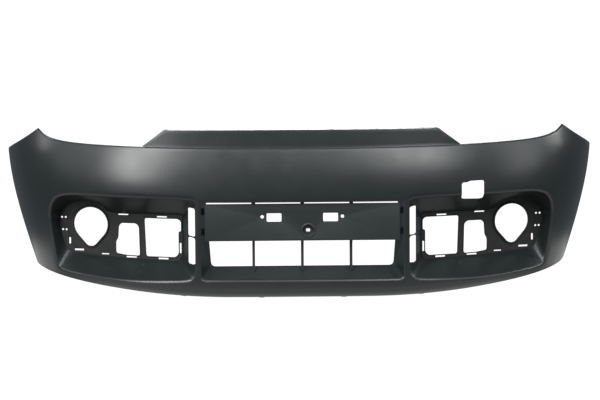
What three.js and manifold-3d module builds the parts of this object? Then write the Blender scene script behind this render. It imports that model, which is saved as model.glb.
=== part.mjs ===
// Front bumper cover of a small car: one moulded skin with a number-plate panel, two lamp carriers
// and the screws and spring nuts that stay with it.
// Millimetres. +Z is up, +X is to the right seen from the front, and the front faces -Y.
// The shapes are drawn with y = 0 at the nose and z = 0 at the lowest edge of the lip; the whole
// group is then moved so that the origin is on the middle of the upper fixing flange.

import * as THREE from 'three';
import { mergeVertices } from 'three/addons/utils/BufferGeometryUtils.js';
import Module from 'manifold-3d';

const wasm = await Module();
wasm.setup();

// ---------------------------------------------------------------- driving dimensions

const HALF_WIDTH = 800; // centre line to the widest point of a wing
const PLAN_DEPTH = 520; // nose to the far end of the plan curve
const PLAN_POWER = 3; // power of the superellipse that the skin follows in plan
const WALL = 3; // wall of every moulding
const GAP = 0.3; // clearance between pieces that touch

const TUCK_TOP = 386; // above this height the skin keeps its full width
const TUCK_SPAN = 308;
const TUCK_AMOUNT = 0.0848; // share of the width lost over the span
const TUCK_POWER = 1.5;
const BROW_HEIGHT = 264; // most forward line of the skin
const LEAN_SPAN = 126;
const LEAN_DEPTH = 27; // how far the skin has leaned back at the top of the span
const LEAN_POWER = 1.9;

const LIP_ROLL_HEIGHT = 24; // the lip rolls under over this height
const LIP_ROLL_DEPTH = 22;
const LIP_FADE_START = 520;
const LIP_FADE_END = 770;
const LIP_RISE_START = 210; // the lower edge starts to rise here
const LIP_RISE = 60;
const LIP_RISE_POWER = 2;
const LOWER_RETURN = 32; // return flange behind the lower edge

const TOP_HEIGHT = 390; // crease between the face and the upper ledge, at the centre line
const SHOULDER_RISE = 18; // how much the crease has risen by the horn
const SHOULDER_POWER = 2.1;
const HORN_X = 702; // pointed upper corner of the wing
const HORN_RISE = 27; // the horn's own height above the risen crease
const HORN_FADE = 38; // distance over which it dies away towards the centre line
const WING_DROP = 88; // the wing's top line falls fast behind the horn, then less
const WING_FADE = 170;
const LEDGE_DEPTH = 20; // over the flange; it narrows from there to the horn
const LEDGE_END_DEPTH = 7;
const LEDGE_RISE = -1;

const FLANGE_TOP = 438; // top face of the upper fixing flange
const FLANGE_FOOT_X = 420;
const FLANGE_HEAD_X = 362;
const FLANGE_LEAN = 6; // its top stands this far behind its foot
const FLANGE_RETURN = 26; // depth of its horizontal part
const FLANGE_HOLES = [80, 200, 320]; // either side of the centre line
const FLANGE_HOLE_DIAMETER = 8.5;

const ARCH_CENTRE_Y = 700; // wheel-arch edge, an arc in side view
const ARCH_CENTRE_Z = 75;
const ARCH_RADIUS = 360;
const ARCH_FLANGE = 24; // width of the flange that the arch edge carries
const ARCH_NUT_ANGLES = [8, 26, 44]; // degrees up from the arch's own horizontal

const INTAKE_HALF_WIDTH = 266;
const INTAKE_BOTTOM = 46;
const INTAKE_TOP = 251;
const INTAKE_BACK = 62; // depth of the back edge of the intake
const INTAKE_BACK_TAPER = 13.5; // how much narrower it is there, each side, at the top and at the bottom
const INTAKE_BACK_LOWER_TAPER = 26.5;
const INTAKE_BACK_BOTTOM = 78;

const CARRIER_INNER_X = 316; // lamp carrier plane: its inner end
const CARRIER_INNER_Y = 92;
const CARRIER_SLOPE = 0.366; // y gained per millimetre outwards
const CARRIER_BORDER = 12; // hidden border behind the recess walls
const LAMP_X = 561;
const LAMP_Z = 180;
const LAMP_RADIUS = 45;
const LAMP_LOBE_Z = 139;
const LAMP_LOBE_RADIUS = 18;

const PANEL_FRONT = 14; // front face of the number-plate panel
const PANEL_BOTTOM = 149.5;
const PANEL_TOP = 247.3;
const PANEL_HALF_WIDTH = 255.5;
const RIB_PITCH = 128;
const RIB_THICKNESS = 7;
const TAB_WIDTH = 10.4;
const PLATE_HOLE_SPACING = 210;
const PLATE_HOLE_DIAMETER = 9;
const PLATE_HOLE_Z = 213;

const ROUND_SIDES = 10;

// ---------------------------------------------------------------- skin surface

class PlanCurve extends THREE.Curve {
  getPoint(t) {
    const angle = (t * Math.PI) / 2;
    const x = HALF_WIDTH * Math.sin(angle) ** (2 / PLAN_POWER);
    const y = PLAN_DEPTH * (1 - Math.cos(angle) ** (2 / PLAN_POWER));
    return new THREE.Vector3(x, y, 0);
  }
}

const PLAN = new PlanCurve();
PLAN.arcLengthDivisions = 2000;

const tuck = (z) => 1 - TUCK_AMOUNT * Math.max(0, (TUCK_TOP - z) / TUCK_SPAN) ** TUCK_POWER;
const lean = (z) => LEAN_DEPTH * Math.max(0, (z - BROW_HEIGHT) / LEAN_SPAN) ** LEAN_POWER;

// Lower edge of the skin: level across the middle, rising to the wheel arches.
function lowerEdge(planX) {
  const share = Math.max(0, (planX - LIP_RISE_START) / (HALF_WIDTH - LIP_RISE_START));
  return LIP_RISE * share ** LIP_RISE_POWER;
}

// How far the lip has rolled back at a height above the lower edge. The roll fades out along the wing.
function lipRoll(planX, z) {
  const share = Math.max(0, 1 - (z - lowerEdge(planX)) / LIP_ROLL_HEIGHT);
  const fade = THREE.MathUtils.smoothstep(planX, LIP_FADE_START, LIP_FADE_END);
  return LIP_ROLL_DEPTH * (1 - fade) * share ** 2;
}

const planDepth = (planX) => PLAN_DEPTH * (1 - (1 - (planX / HALF_WIDTH) ** PLAN_POWER) ** (1 / PLAN_POWER));

// Place along the skin, from 0 to 1, where the plan curve is a given distance from the centre line.
function placeAcross(planX) {
  let [low, high] = [0, 1];
  for (let i = 0; i < 40; i++) {
    const middle = (low + high) / 2;
    [low, high] = PLAN.getPointAt(middle).x < planX ? [middle, high] : [low, middle];
  }
  return low;
}

const PLAN_LENGTH = PLAN.getLength();
const HORN_PLACE = placeAcross(HORN_X);

// Top crease of the face: rising to the horn, then down to the wing tip.
function upperEdge(u) {
  const beyond = (Math.abs(u) - HORN_PLACE) * PLAN_LENGTH;
  const hornTop = TOP_HEIGHT + SHOULDER_RISE + HORN_RISE;
  if (beyond > 0) {
    return hornTop - WING_DROP * (1 - Math.exp(-beyond / WING_FADE));
  }
  const shoulder = SHOULDER_RISE * Math.abs(u / HORN_PLACE) ** SHOULDER_POWER;
  return TOP_HEIGHT + shoulder + HORN_RISE * Math.exp(beyond / HORN_FADE);
}

function ledgeDepth(u) {
  const flangeEnd = placeAcross(FLANGE_FOOT_X);
  const share = (Math.abs(u) - flangeEnd) / (HORN_PLACE - flangeEnd);
  return THREE.MathUtils.lerp(LEDGE_DEPTH, LEDGE_END_DEPTH, THREE.MathUtils.clamp(share, 0, 1));
}

// A point of the outer face. u runs from -1 at the left wing tip to 1 at the right one.
function skinPoint(u, z) {
  const plan = PLAN.getPointAt(Math.min(1, Math.abs(u)));
  const side = Math.sign(u) || 1;
  const depth = plan.y + lean(z) + lipRoll(plan.x, z);
  return new THREE.Vector3(side * plan.x * tuck(z), depth, z);
}

function skinNormal(u, z) {
  const step = 0.002;
  const along = skinPoint(Math.min(1, u + step), z).sub(skinPoint(Math.max(-1, u - step), z));
  const up = skinPoint(u, z + 1).sub(skinPoint(u, z - 1));
  return along.cross(up).normalize();
}

// Horizontal direction from the face towards the inside of the car.
function inward(u, z) {
  const normal = skinNormal(u, z);
  return new THREE.Vector3(-normal.x, -normal.y, 0).normalize();
}

// Width of the skin at a given depth and height, for the arch edge.
function skinX(y, z) {
  const depth = Math.min(1, (y - lean(z)) / PLAN_DEPTH);
  const planX = HALF_WIDTH * (1 - (1 - depth) ** PLAN_POWER) ** (1 / PLAN_POWER);
  return planX * tuck(z);
}

// Depth of the skin at a given place seen from the front.
function skinY(x, z) {
  const planX = Math.min(HALF_WIDTH * 0.9999, Math.abs(x) / tuck(z));
  return planDepth(planX) + lean(z) + lipRoll(planX, z);
}

// ---------------------------------------------------------------- solids

function solid(geometry) {
  const bare = geometry.clone();
  bare.deleteAttribute('normal');
  bare.deleteAttribute('uv');
  const merged = mergeVertices(bare, 1e-4);
  return new wasm.Manifold(new wasm.Mesh({
    numProp: 3,
    vertProperties: new Float32Array(merged.attributes.position.array),
    triVerts: new Uint32Array(merged.index.array),
  }));
}

function geometryOf(manifold) {
  const mesh = manifold.getMesh();
  const geometry = new THREE.BufferGeometry();
  geometry.setAttribute('position', new THREE.BufferAttribute(new Float32Array(mesh.vertProperties), 3));
  geometry.setIndex(new THREE.BufferAttribute(new Uint32Array(mesh.triVerts), 1));
  return geometry;
}

const joined = (solids) => solids.reduce((whole, next) => whole.add(next));

// A closed solid through a row of equal closed loops. flatten gives the 2D view that its end caps
// are triangulated in.
function loft(loops, flatten) {
  const count = loops[0].length;
  const index = [];
  for (let i = 0; i < loops.length - 1; i++) {
    for (let j = 0; j < count; j++) {
      const a = i * count + j;
      const b = i * count + ((j + 1) % count);
      index.push(a, b, b + count, a, b + count, a + count);
    }
  }
  const last = (loops.length - 1) * count;
  for (const [offset, flip] of [[0, true], [last, false]]) {
    const flat = loops[offset / count].map(flatten);
    for (const [a, b, c] of THREE.ShapeUtils.triangulateShape(flat, [])) {
      const swap = THREE.ShapeUtils.isClockWise(flat) !== flip;
      index.push(...(swap ? [a, c, b] : [a, b, c]).map((k) => k + offset));
    }
  }
  const geometry = new THREE.BufferGeometry();
  const values = loops.flat().flatMap((p) => [p.x, p.y, p.z]);
  geometry.setAttribute('position', new THREE.Float32BufferAttribute(values, 3));
  geometry.setIndex(index);
  return solid(facingOut(geometry));
}

// Turns a closed mesh inside out if its volume comes out negative.
function facingOut(geometry) {
  const p = geometry.attributes.position;
  const index = geometry.index.array;
  const [a, b, c] = [new THREE.Vector3(), new THREE.Vector3(), new THREE.Vector3()];
  let volume = 0;
  for (let i = 0; i < index.length; i += 3) {
    a.fromBufferAttribute(p, index[i]);
    b.fromBufferAttribute(p, index[i + 1]);
    c.fromBufferAttribute(p, index[i + 2]);
    volume += a.dot(b.cross(c));
  }
  if (volume < 0) {
    for (let i = 0; i < index.length; i += 3) {
      [index[i], index[i + 1]] = [index[i + 1], index[i]];
    }
  }
  return geometry;
}

// Reflects a geometry in the centre plane of the car.
function mirrored(geometry) {
  const copy = geometry.clone();
  copy.scale(-1, 1, 1);
  const index = copy.index.array;
  for (let i = 0; i < index.length; i += 3) {
    [index[i], index[i + 1]] = [index[i + 1], index[i]];
  }
  return copy;
}

// A front-view outline (x, z) as a solid between two depths.
function prism(shape, front, back, curveSegments = 6) {
  const settings = { depth: back - front, bevelEnabled: false, curveSegments };
  const geometry = new THREE.ExtrudeGeometry(shape, settings);
  geometry.rotateX(Math.PI / 2);
  geometry.translate(0, back, 0);
  return geometry;
}

const ALONG_Y = new THREE.Vector3(0, 1, 0);
const ALONG_Z = new THREE.Vector3(0, 0, 1);

function rod(radius, length, axis, place, sides = ROUND_SIDES) {
  const geometry = new THREE.CylinderGeometry(radius, radius, length, sides);
  const turn = new THREE.Quaternion().setFromUnitVectors(ALONG_Y, axis);
  geometry.applyQuaternion(turn);
  geometry.translate(place.x, place.y, place.z);
  return solid(geometry);
}

function outline(points) {
  return new THREE.Shape(points.map(([x, z]) => new THREE.Vector2(x, z)));
}

// A rectangle with rounded corners, from its two opposite corners.
function roundedRectangle(x0, z0, x1, z1, radius) {
  const shape = new THREE.Shape();
  shape.moveTo(x0 + radius, z0);
  shape.lineTo(x1 - radius, z0);
  shape.absarc(x1 - radius, z0 + radius, radius, -Math.PI / 2, 0);
  shape.lineTo(x1, z1 - radius);
  shape.absarc(x1 - radius, z1 - radius, radius, 0, Math.PI / 2);
  shape.lineTo(x0 + radius, z1);
  shape.absarc(x0 + radius, z1 - radius, radius, Math.PI / 2, Math.PI);
  shape.lineTo(x0, z0 + radius);
  shape.absarc(x0 + radius, z0 + radius, radius, Math.PI, 1.5 * Math.PI);
  return shape;
}

// ---------------------------------------------------------------- recess outlines

// Samples a smooth run through a few points.
function run(points, steps) {
  const curve = new THREE.SplineCurve(points.map(([x, z]) => new THREE.Vector2(x, z)));
  return Array.from({ length: steps }, (_, i) => curve.getPoint(i / steps));
}

// Front and back edge of a side recess, drawn for the right-hand side as four runs: top, outer side,
// bottom and inner side. Equal runs are joined by the recess walls.
const RECESS_STEPS = [11, 7, 11, 3];
const RECESS_FRONT = [
  [[280, 259], [340, 263.5], [446, 266], [564, 266.5], [618, 265], [650, 255], [665, 234]],
  [[665, 234], [668, 205], [662, 150], [655, 89], [648, 64]],
  [[648, 64], [625, 56], [526, 48], [447, 44], [369, 44], [308, 46], [289, 54], [280, 72]],
  [[280, 72], [280, 165], [280, 259]],
];
const RECESS_BACK = [
  [[316, 211], [400, 211], [505, 212], [532, 232], [566, 240], [608, 237], [640, 216]],
  [[640, 216], [646, 196], [643, 165], [632, 128], [624, 107]],
  [[624, 107], [600, 103], [560, 98], [465, 92], [381, 90], [338, 88], [322, 91], [316, 101]],
  [[316, 101], [316, 156], [316, 211]],
];

const sampled = (runs) => runs.flatMap((points, i) => run(points, RECESS_STEPS[i]));

// Outline of the intake: plain upper corners and round lower ones. Its sides are drawn in short steps
// so that the walls behind them can twist evenly.
function intakeOutline(upperHalf, lowerHalf, bottom, radius) {
  const steps = 5;
  const upper = new THREE.Vector2(upperHalf, INTAKE_TOP);
  const lower = new THREE.Vector2(lowerHalf, bottom + radius);
  const side = Array.from({ length: steps + 1 }, (_, i) => lower.clone().lerp(upper, i / steps));
  const shape = new THREE.Shape();
  shape.moveTo(-upper.x, upper.y);
  side.toReversed().slice(1).forEach((p) => shape.lineTo(-p.x, p.y));
  shape.absarc(-lower.x + radius, lower.y, radius, Math.PI, 1.5 * Math.PI);
  shape.absarc(lower.x - radius, lower.y, radius, -Math.PI / 2, 0);
  side.slice(1).forEach((p) => shape.lineTo(p.x, p.y));
  return shape.getPoints(5);
}

// Moves a closed outline outwards by a distance.
function widened(points, distance) {
  const turn = THREE.ShapeUtils.isClockWise(points) ? -1 : 1;
  return points.map((point, i) => {
    const before = points[(i + points.length - 1) % points.length];
    const after = points[(i + 1) % points.length];
    const along = after.clone().sub(before).normalize().multiplyScalar(turn * distance);
    return new THREE.Vector2(point.x + along.y, point.y - along.x);
  });
}

const carrierPlane = (x) => CARRIER_INNER_Y + CARRIER_SLOPE * (Math.abs(x) - CARRIER_INNER_X);

const frontView = (p) => new THREE.Vector2(p.x, p.z);

// The space in a recess, from ahead of the skin to its back edge, with its walls moved out by wider
// and its back edge moved back by deeper.
function recessSpace(front, back, backDepth, wider, deeper) {
  const frontLoop = widened(front, wider);
  const backLoop = widened(back, wider);
  const near = frontLoop.map((p) => new THREE.Vector3(p.x, skinY(p.x, p.y), p.y));
  const far = backLoop.map((p) => new THREE.Vector3(p.x, backDepth(p.x), p.y));
  const ahead = near.map((p) => p.clone().setY(-60));
  const beyond = far.map((p, i) => p.clone().addScaledVector(p.clone().sub(near[i]).normalize(), deeper));
  return loft([ahead, near, deeper > 0 ? beyond : far], frontView);
}

function sideRecess(wider, deeper) {
  return recessSpace(sampled(RECESS_FRONT), sampled(RECESS_BACK), carrierPlane, wider, deeper);
}

function intake(wider, deeper) {
  const half = INTAKE_HALF_WIDTH;
  const front = intakeOutline(half, half, INTAKE_BOTTOM, 14);
  const upperBack = half - INTAKE_BACK_TAPER;
  const lowerBack = half - INTAKE_BACK_LOWER_TAPER;
  const back = intakeOutline(upperBack, lowerBack, INTAKE_BACK_BOTTOM, 14);
  return recessSpace(front, back, () => INTAKE_BACK, wider, deeper);
}

// ---------------------------------------------------------------- skin

// Places of the skin's columns, with one exactly on each horn.
const FRONT_COLUMNS = 17;
const WING_COLUMNS = 6;

function columnPlaces() {
  const front = Array.from({ length: FRONT_COLUMNS }, (_, i) => (HORN_PLACE * (i + 1)) / FRONT_COLUMNS);
  const wingStep = (1 - HORN_PLACE) / WING_COLUMNS;
  const wing = Array.from({ length: WING_COLUMNS }, (_, i) => HORN_PLACE + wingStep * (i + 1));
  const right = [...front, ...wing];
  return [...right.map((u) => -u).reverse(), 0, ...right];
}

const columns = columnPlaces();

// Heights of the face's rows: close together over the rolled lip, then even.
function rowHeights(u) {
  const low = lowerEdge(PLAN.getPointAt(Math.min(1, Math.abs(u))).x);
  const high = upperEdge(u);
  const start = low + LIP_ROLL_HEIGHT;
  const rows = [low, low + LIP_ROLL_HEIGHT / 3, low + (2 * LIP_ROLL_HEIGHT) / 3];
  const even = 6;
  for (let i = 0; i <= even; i++) {
    rows.push(start + ((high - start) * i) / even);
  }
  return rows;
}

// Section of the shell: lower return, face, upper ledge, and the same again one wall further in.
function shellSection(u) {
  const heights = rowHeights(u);
  const low = heights[0];
  const high = heights[heights.length - 1];
  const outer = heights.map((z) => skinPoint(u, z));
  const inner = heights.map((z) => skinPoint(u, z).addScaledVector(skinNormal(u, z), -WALL));
  inner[0].z = low + WALL;
  inner[heights.length - 1].z = high - WALL;
  const returnEdge = outer[0].clone().addScaledVector(inward(u, low + 1), LOWER_RETURN);
  const ledgeEdge = outer[outer.length - 1].clone().addScaledVector(inward(u, high), ledgeDepth(u));
  ledgeEdge.z += LEDGE_RISE;
  const returnInner = returnEdge.clone().setZ(low + WALL);
  const ledgeInner = ledgeEdge.clone().setZ(ledgeEdge.z - WALL);
  return [returnEdge, ...outer, ledgeEdge, ledgeInner, ...inner.reverse(), returnInner];
}

const sideView = (p) => new THREE.Vector2(p.y, p.z);

function shell() {
  return loft(columns.map(shellSection), frontView);
}

// Everything behind the middle of the skin's wall, to trim the recess walls with.
function behindFace() {
  const far = 1000;
  const sections = columns.map((u) => {
    const face = rowHeights(u).map((z) => skinPoint(u, z).addScaledVector(skinNormal(u, z), -WALL / 2));
    const top = face[face.length - 1];
    return [...face, new THREE.Vector3(top.x, far, top.z), new THREE.Vector3(face[0].x, far, face[0].z)];
  });
  return loft(sections, sideView);
}

// Upstanding flange over the middle of the skin, with its horizontal fixing strip. Its ends slope,
// and the strip tapers away along them.
function upperFlange() {
  const steps = 26;
  const sections = [];
  for (let i = 0; i <= steps; i++) {
    const { x, y, z } = flangeFoot(FLANGE_FOOT_X * ((2 * i) / steps - 1));
    const share = Math.min(1, (FLANGE_FOOT_X - Math.abs(x)) / (FLANGE_FOOT_X - FLANGE_HEAD_X));
    const top = z + WALL + (FLANGE_TOP - z - WALL) * share;
    const head = y + FLANGE_LEAN * share;
    const stripEnd = head + WALL + 1 + (FLANGE_RETURN - WALL - 1) * share;
    const outlinePoints = [
      [y, z], [head, top], [stripEnd, top], [stripEnd, top - WALL], [head + WALL, top - WALL], [y + WALL, z],
    ];
    sections.push(outlinePoints.map(([depth, height]) => new THREE.Vector3(x, depth, height)));
  }
  return loft(sections, sideView);
}

function flangeFoot(planX) {
  const crease = upperEdge(placeAcross(Math.abs(planX)));
  const y = planDepth(Math.abs(planX)) + lean(crease) + LEDGE_DEPTH - WALL - 1;
  return new THREE.Vector3(planX, y, crease + LEDGE_RISE - 0.7 * WALL);
}

// Depth of the middle of the fixing strip.
const stripMiddle = (x) => flangeFoot(x).y + FLANGE_LEAN + (FLANGE_RETURN + WALL) / 2;

function flangeHoles() {
  const holes = [];
  for (const side of [-1, 1]) {
    for (const x of FLANGE_HOLES) {
      const y = stripMiddle(x);
      const place = new THREE.Vector3(side * x, y, FLANGE_TOP);
      holes.push(rod(FLANGE_HOLE_DIAMETER / 2, 4 * WALL, ALONG_Z, place));
    }
  }
  return joined(holes);
}

// Point on the arch edge, on a given radius, at an angle up from the arch's own horizontal.
function archPoint(degrees, radius, inset) {
  const angle = THREE.MathUtils.degToRad(degrees);
  const y = ARCH_CENTRE_Y - radius * Math.cos(angle);
  const z = ARCH_CENTRE_Z + radius * Math.sin(angle);
  return new THREE.Vector3(skinX(y, z) - inset, y, z);
}

const ARCH_LOW = 0;
const ARCH_HIGH = 50;

// Flange turned inwards along the wheel-arch edge of the right wing.
function archFlange() {
  const steps = 18;
  const sections = [];
  for (let i = 0; i <= steps; i++) {
    const degrees = ARCH_LOW + ((ARCH_HIGH - ARCH_LOW) * i) / steps;
    const root = archPoint(degrees, ARCH_RADIUS + WALL, WALL / 2);
    const low = archPoint(degrees, ARCH_RADIUS - 2, WALL / 2);
    const edge = root.x - ARCH_FLANGE;
    sections.push([
      low.clone().setX(Math.min(low.x, root.x)),
      root,
      root.clone().setX(edge),
      low.clone().setX(edge),
    ]);
  }
  return loft(sections, (p) => new THREE.Vector2(p.x, p.y + p.z));
}

function archCut() {
  const geometry = new THREE.CylinderGeometry(ARCH_RADIUS, ARCH_RADIUS, 2 * HALF_WIDTH + 100, 96);
  geometry.rotateZ(Math.PI / 2);
  geometry.translate(0, ARCH_CENTRE_Y, ARCH_CENTRE_Z);
  return solid(geometry);
}

// Radial direction of the arch, from the wheel outwards.
function archRadial(degrees) {
  const angle = THREE.MathUtils.degToRad(degrees);
  return new THREE.Vector3(0, -Math.cos(angle), Math.sin(angle));
}

const ARCH_NUT_INSET = 17; // screw hole, from the outer face

function archHoles() {
  return joined(ARCH_NUT_ANGLES.map((degrees) => {
    const place = archPoint(degrees, ARCH_RADIUS + WALL / 2, ARCH_NUT_INSET);
    return rod(NUT_HOLE_RADIUS, 6 * WALL, archRadial(degrees), place);
  }));
}

// The see-through slot beside each pillar, in two halves with a thin rib between them.
const SLOT_INNER = 281;
const SLOT_OUTER = 299;
const SLOT_HALVES = [[88, 158.5], [161.5, 236]];

function pillarSlots() {
  return joined(SLOT_HALVES.map(([low, high]) => {
    const shape = roundedRectangle(SLOT_INNER, low, SLOT_OUTER, high, 5);
    return solid(prism(shape, -10, 75));
  }));
}

// Towing-eye opening, in the right-hand side only, cut through the face and the turn below the brow.
function towOpening() {
  const shape = new THREE.Shape();
  shape.moveTo(419, 252);
  shape.lineTo(465, 250);
  shape.quadraticCurveTo(477, 252, 478, 268);
  shape.lineTo(478, 292);
  shape.quadraticCurveTo(477, 302, 468, 302);
  shape.lineTo(441, 301);
  shape.lineTo(434, 297.5);
  shape.lineTo(419, 297);
  return solid(prism(shape, 0, 105));
}

// Bosses outside the recess walls that the lamp-carrier screws bite into.
const CARRIER_SCREWS = [[470, 217.5], [420, 82]];
const BOSS_RADIUS = 5;
const BOSS_LENGTH = 18;
const BOSS_INSET = 2; // its back end lies this far ahead of the carrier
const BORE_RADIUS = 2;
const BORE_LENGTH = 14;

function carrierBosses() {
  return joined(CARRIER_SCREWS.map(([x, z]) => {
    const middle = carrierPlane(x) - BOSS_INSET - BOSS_LENGTH / 2;
    return rod(BOSS_RADIUS, BOSS_LENGTH, ALONG_Y, new THREE.Vector3(x, middle, z));
  }));
}

function carrierBores() {
  return joined(CARRIER_SCREWS.map(([x, z]) => {
    const middle = carrierPlane(x) + 1 - BORE_LENGTH / 2;
    return rod(BORE_RADIUS, BORE_LENGTH, ALONG_Y, new THREE.Vector3(x, middle, z));
  }));
}

// Lugs on the intake's side walls that the plate panel is screwed to.
const PANEL_SCREW_X = 240;
const PANEL_SCREW_HEIGHTS = [172, 226];
const LUG_FRONT = 28;

function panelLugs() {
  return joined(PANEL_SCREW_HEIGHTS.map((z) => {
    const shape = roundedRectangle(PANEL_SCREW_X - 8, z - 9, INTAKE_HALF_WIDTH - 4.5, z + 9, 2);
    const lug = solid(prism(shape, LUG_FRONT, LUG_FRONT + WALL, 3));
    const place = new THREE.Vector3(PANEL_SCREW_X, LUG_FRONT, z);
    return lug.subtract(rod(BORE_RADIUS, 4 * WALL, ALONG_Y, place));
  }));
}

// Holes in the lower return flange under the undertray nuts.
const UNDERTRAY_NUTS = [-0.32, -0.11, 0.11, 0.32]; // places along the skin, as in skinPoint
const NUT_HOLE_RADIUS = 3.2;
const UNDERTRAY_INSET = 22; // hole, from the lower edge backwards

// A point in the middle of the lower return's wall, on the line of its holes.
function lowerReturn(u) {
  const z = lowerEdge(PLAN.getPointAt(Math.abs(u)).x);
  const place = skinPoint(u, z).addScaledVector(inward(u, z + 1), UNDERTRAY_INSET);
  place.z += WALL / 2;
  return place;
}

function undertrayHoles() {
  return joined(UNDERTRAY_NUTS.map((u) => {
    return rod(NUT_HOLE_RADIUS, 8 * WALL, ALONG_Z, lowerReturn(u));
  }));
}

const bothSides = (body) => body.add(solid(mirrored(geometryOf(body))));

function bumperSkin() {
  const recessBlocks = bothSides(sideRecess(WALL, 0)).add(intake(WALL, 0)).intersect(behindFace());
  const recessSpaces = bothSides(sideRecess(0, 2)).add(intake(0, 2));
  return shell()
    .add(bothSides(archFlange()))
    .subtract(archCut())
    .add(recessBlocks)
    .add(bothSides(carrierBosses()))
    .add(upperFlange())
    .subtract(recessSpaces)
    .add(bothSides(panelLugs()))
    .subtract(bothSides(carrierBores()))
    .subtract(bothSides(pillarSlots()))
    .subtract(bothSides(archHoles()))
    .subtract(towOpening())
    .subtract(flangeHoles())
    .subtract(undertrayHoles());
}

// ---------------------------------------------------------------- number-plate panel

// Height of the intake floor at a given depth.
function intakeFloor(y) {
  return INTAKE_BOTTOM + ((INTAKE_BACK_BOTTOM - INTAKE_BOTTOM) * y) / INTAKE_BACK;
}

// One vertical rib behind the panel, from the tab at the top down to the intake floor.
function rib(x) {
  const front = PANEL_FRONT + WALL - 0.5;
  const back = INTAKE_BACK - 1;
  const foot = 38;
  const shape = new THREE.Shape([
    new THREE.Vector2(front, PANEL_TOP - 4),
    new THREE.Vector2(front, PANEL_BOTTOM + 4),
    new THREE.Vector2(foot, PANEL_BOTTOM - 14),
    new THREE.Vector2(foot, intakeFloor(foot) + 1.2),
    new THREE.Vector2(back, intakeFloor(back) + 1.2),
    new THREE.Vector2(back, PANEL_BOTTOM + 10),
    new THREE.Vector2(front + 12, PANEL_TOP - 4),
  ]);
  const geometry = new THREE.ExtrudeGeometry(shape, { depth: RIB_THICKNESS, bevelEnabled: false });
  const columnsToWorld = new THREE.Matrix4().makeBasis(
    new THREE.Vector3(0, 1, 0), new THREE.Vector3(0, 0, 1), new THREE.Vector3(1, 0, 0));
  geometry.applyMatrix4(columnsToWorld);
  geometry.translate(x - RIB_THICKNESS / 2, 0, 0);
  return solid(geometry);
}

function topTab(x) {
  const half = TAB_WIDTH / 2;
  const shape = roundedRectangle(x - half, PANEL_TOP - 3, x + half, INTAKE_TOP - 2 * GAP, 1);
  return solid(prism(shape, PANEL_FRONT, PANEL_FRONT + WALL, 2));
}

// Off-centre dished boss with a small square hole.
const DISH_X = 15;
const DISH_Z = 177;
const DISH_RADIUS = 19;
const DISH_FLOOR = 5; // depth of its floor behind the panel's face
const DISH_HOLE = [DISH_X - 5, DISH_Z - 3.8, DISH_X + 5, DISH_Z + 3.8];

function dish() {
  const profile = [
    [0, 0], [DISH_RADIUS - 6, 0], [DISH_RADIUS - 3, -3], [DISH_RADIUS, 0], [DISH_RADIUS, 8], [0, 8],
  ].map(([radius, depth]) => new THREE.Vector2(radius, depth));
  const geometry = new THREE.LatheGeometry(profile, 28);
  geometry.translate(DISH_X, PANEL_FRONT, DISH_Z);
  return solid(facingOut(mergeVertices(bareCopy(geometry), 1e-4)));
}

function dishHollow() {
  const profile = [[0, -4], [DISH_RADIUS - 7, -4], [DISH_RADIUS - 8, DISH_FLOOR], [0, DISH_FLOOR]]
    .map(([radius, depth]) => new THREE.Vector2(radius, depth));
  const geometry = new THREE.LatheGeometry(profile, 28);
  geometry.translate(DISH_X, PANEL_FRONT, DISH_Z);
  return solid(facingOut(mergeVertices(bareCopy(geometry), 1e-4)));
}

function bareCopy(geometry) {
  const copy = geometry.clone();
  copy.deleteAttribute('normal');
  copy.deleteAttribute('uv');
  return copy;
}

const RIB_PLACES = [-RIB_PITCH, 0, RIB_PITCH];

function panelBoss(x, z) {
  const length = LUG_FRONT - GAP - PANEL_FRONT - 1;
  const centre = PANEL_FRONT + 1 + length / 2;
  const boss = rod(4.5, length, ALONG_Y, new THREE.Vector3(x, centre, z), 12);
  const bore = rod(BORE_RADIUS, 9, ALONG_Y, new THREE.Vector3(x, LUG_FRONT - 3.5, z), 12);
  return { boss, bore };
}

function platePanel() {
  const face = outline([
    [-PANEL_HALF_WIDTH, PANEL_BOTTOM], [PANEL_HALF_WIDTH, PANEL_BOTTOM],
    [PANEL_HALF_WIDTH, PANEL_TOP], [-PANEL_HALF_WIDTH, PANEL_TOP],
  ]);
  const plate = solid(prism(face, PANEL_FRONT, PANEL_FRONT + WALL));
  const bosses = [-1, 1].flatMap((side) => {
    return PANEL_SCREW_HEIGHTS.map((z) => panelBoss(side * PANEL_SCREW_X, z));
  });
  const body = joined([plate, dish(), ...RIB_PLACES.map(rib), ...RIB_PLACES.map(topTab),
    ...bosses.map((part) => part.boss)]);
  const cuts = [dishHollow(), ...bosses.map((part) => part.bore)];
  for (const side of [-1, 1]) {
    const hole = new THREE.Vector3((side * PLATE_HOLE_SPACING) / 2, PANEL_FRONT, PLATE_HOLE_Z);
    cuts.push(rod(PLATE_HOLE_DIAMETER / 2, 20, ALONG_Y, hole));
    const [near, far] = side > 0 ? [54.5, 93.5] : [-93.5, -54.5];
    cuts.push(solid(prism(roundedRectangle(near, 200, far, 222, 3), 0, 30, 3)));
  }
  cuts.push(solid(prism(roundedRectangle(...DISH_HOLE, 1.5), 0, 30, 2)));
  return body.subtract(joined(cuts));
}

// ---------------------------------------------------------------- lamp carriers

// Slides a prism back on to the carrier plane, which runs outwards and backwards.
function onCarrierPlane(geometry) {
  const p = geometry.attributes.position;
  for (let i = 0; i < p.count; i++) {
    p.setY(i, p.getY(i) + carrierPlane(p.getX(i)));
  }
  return geometry;
}

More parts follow.
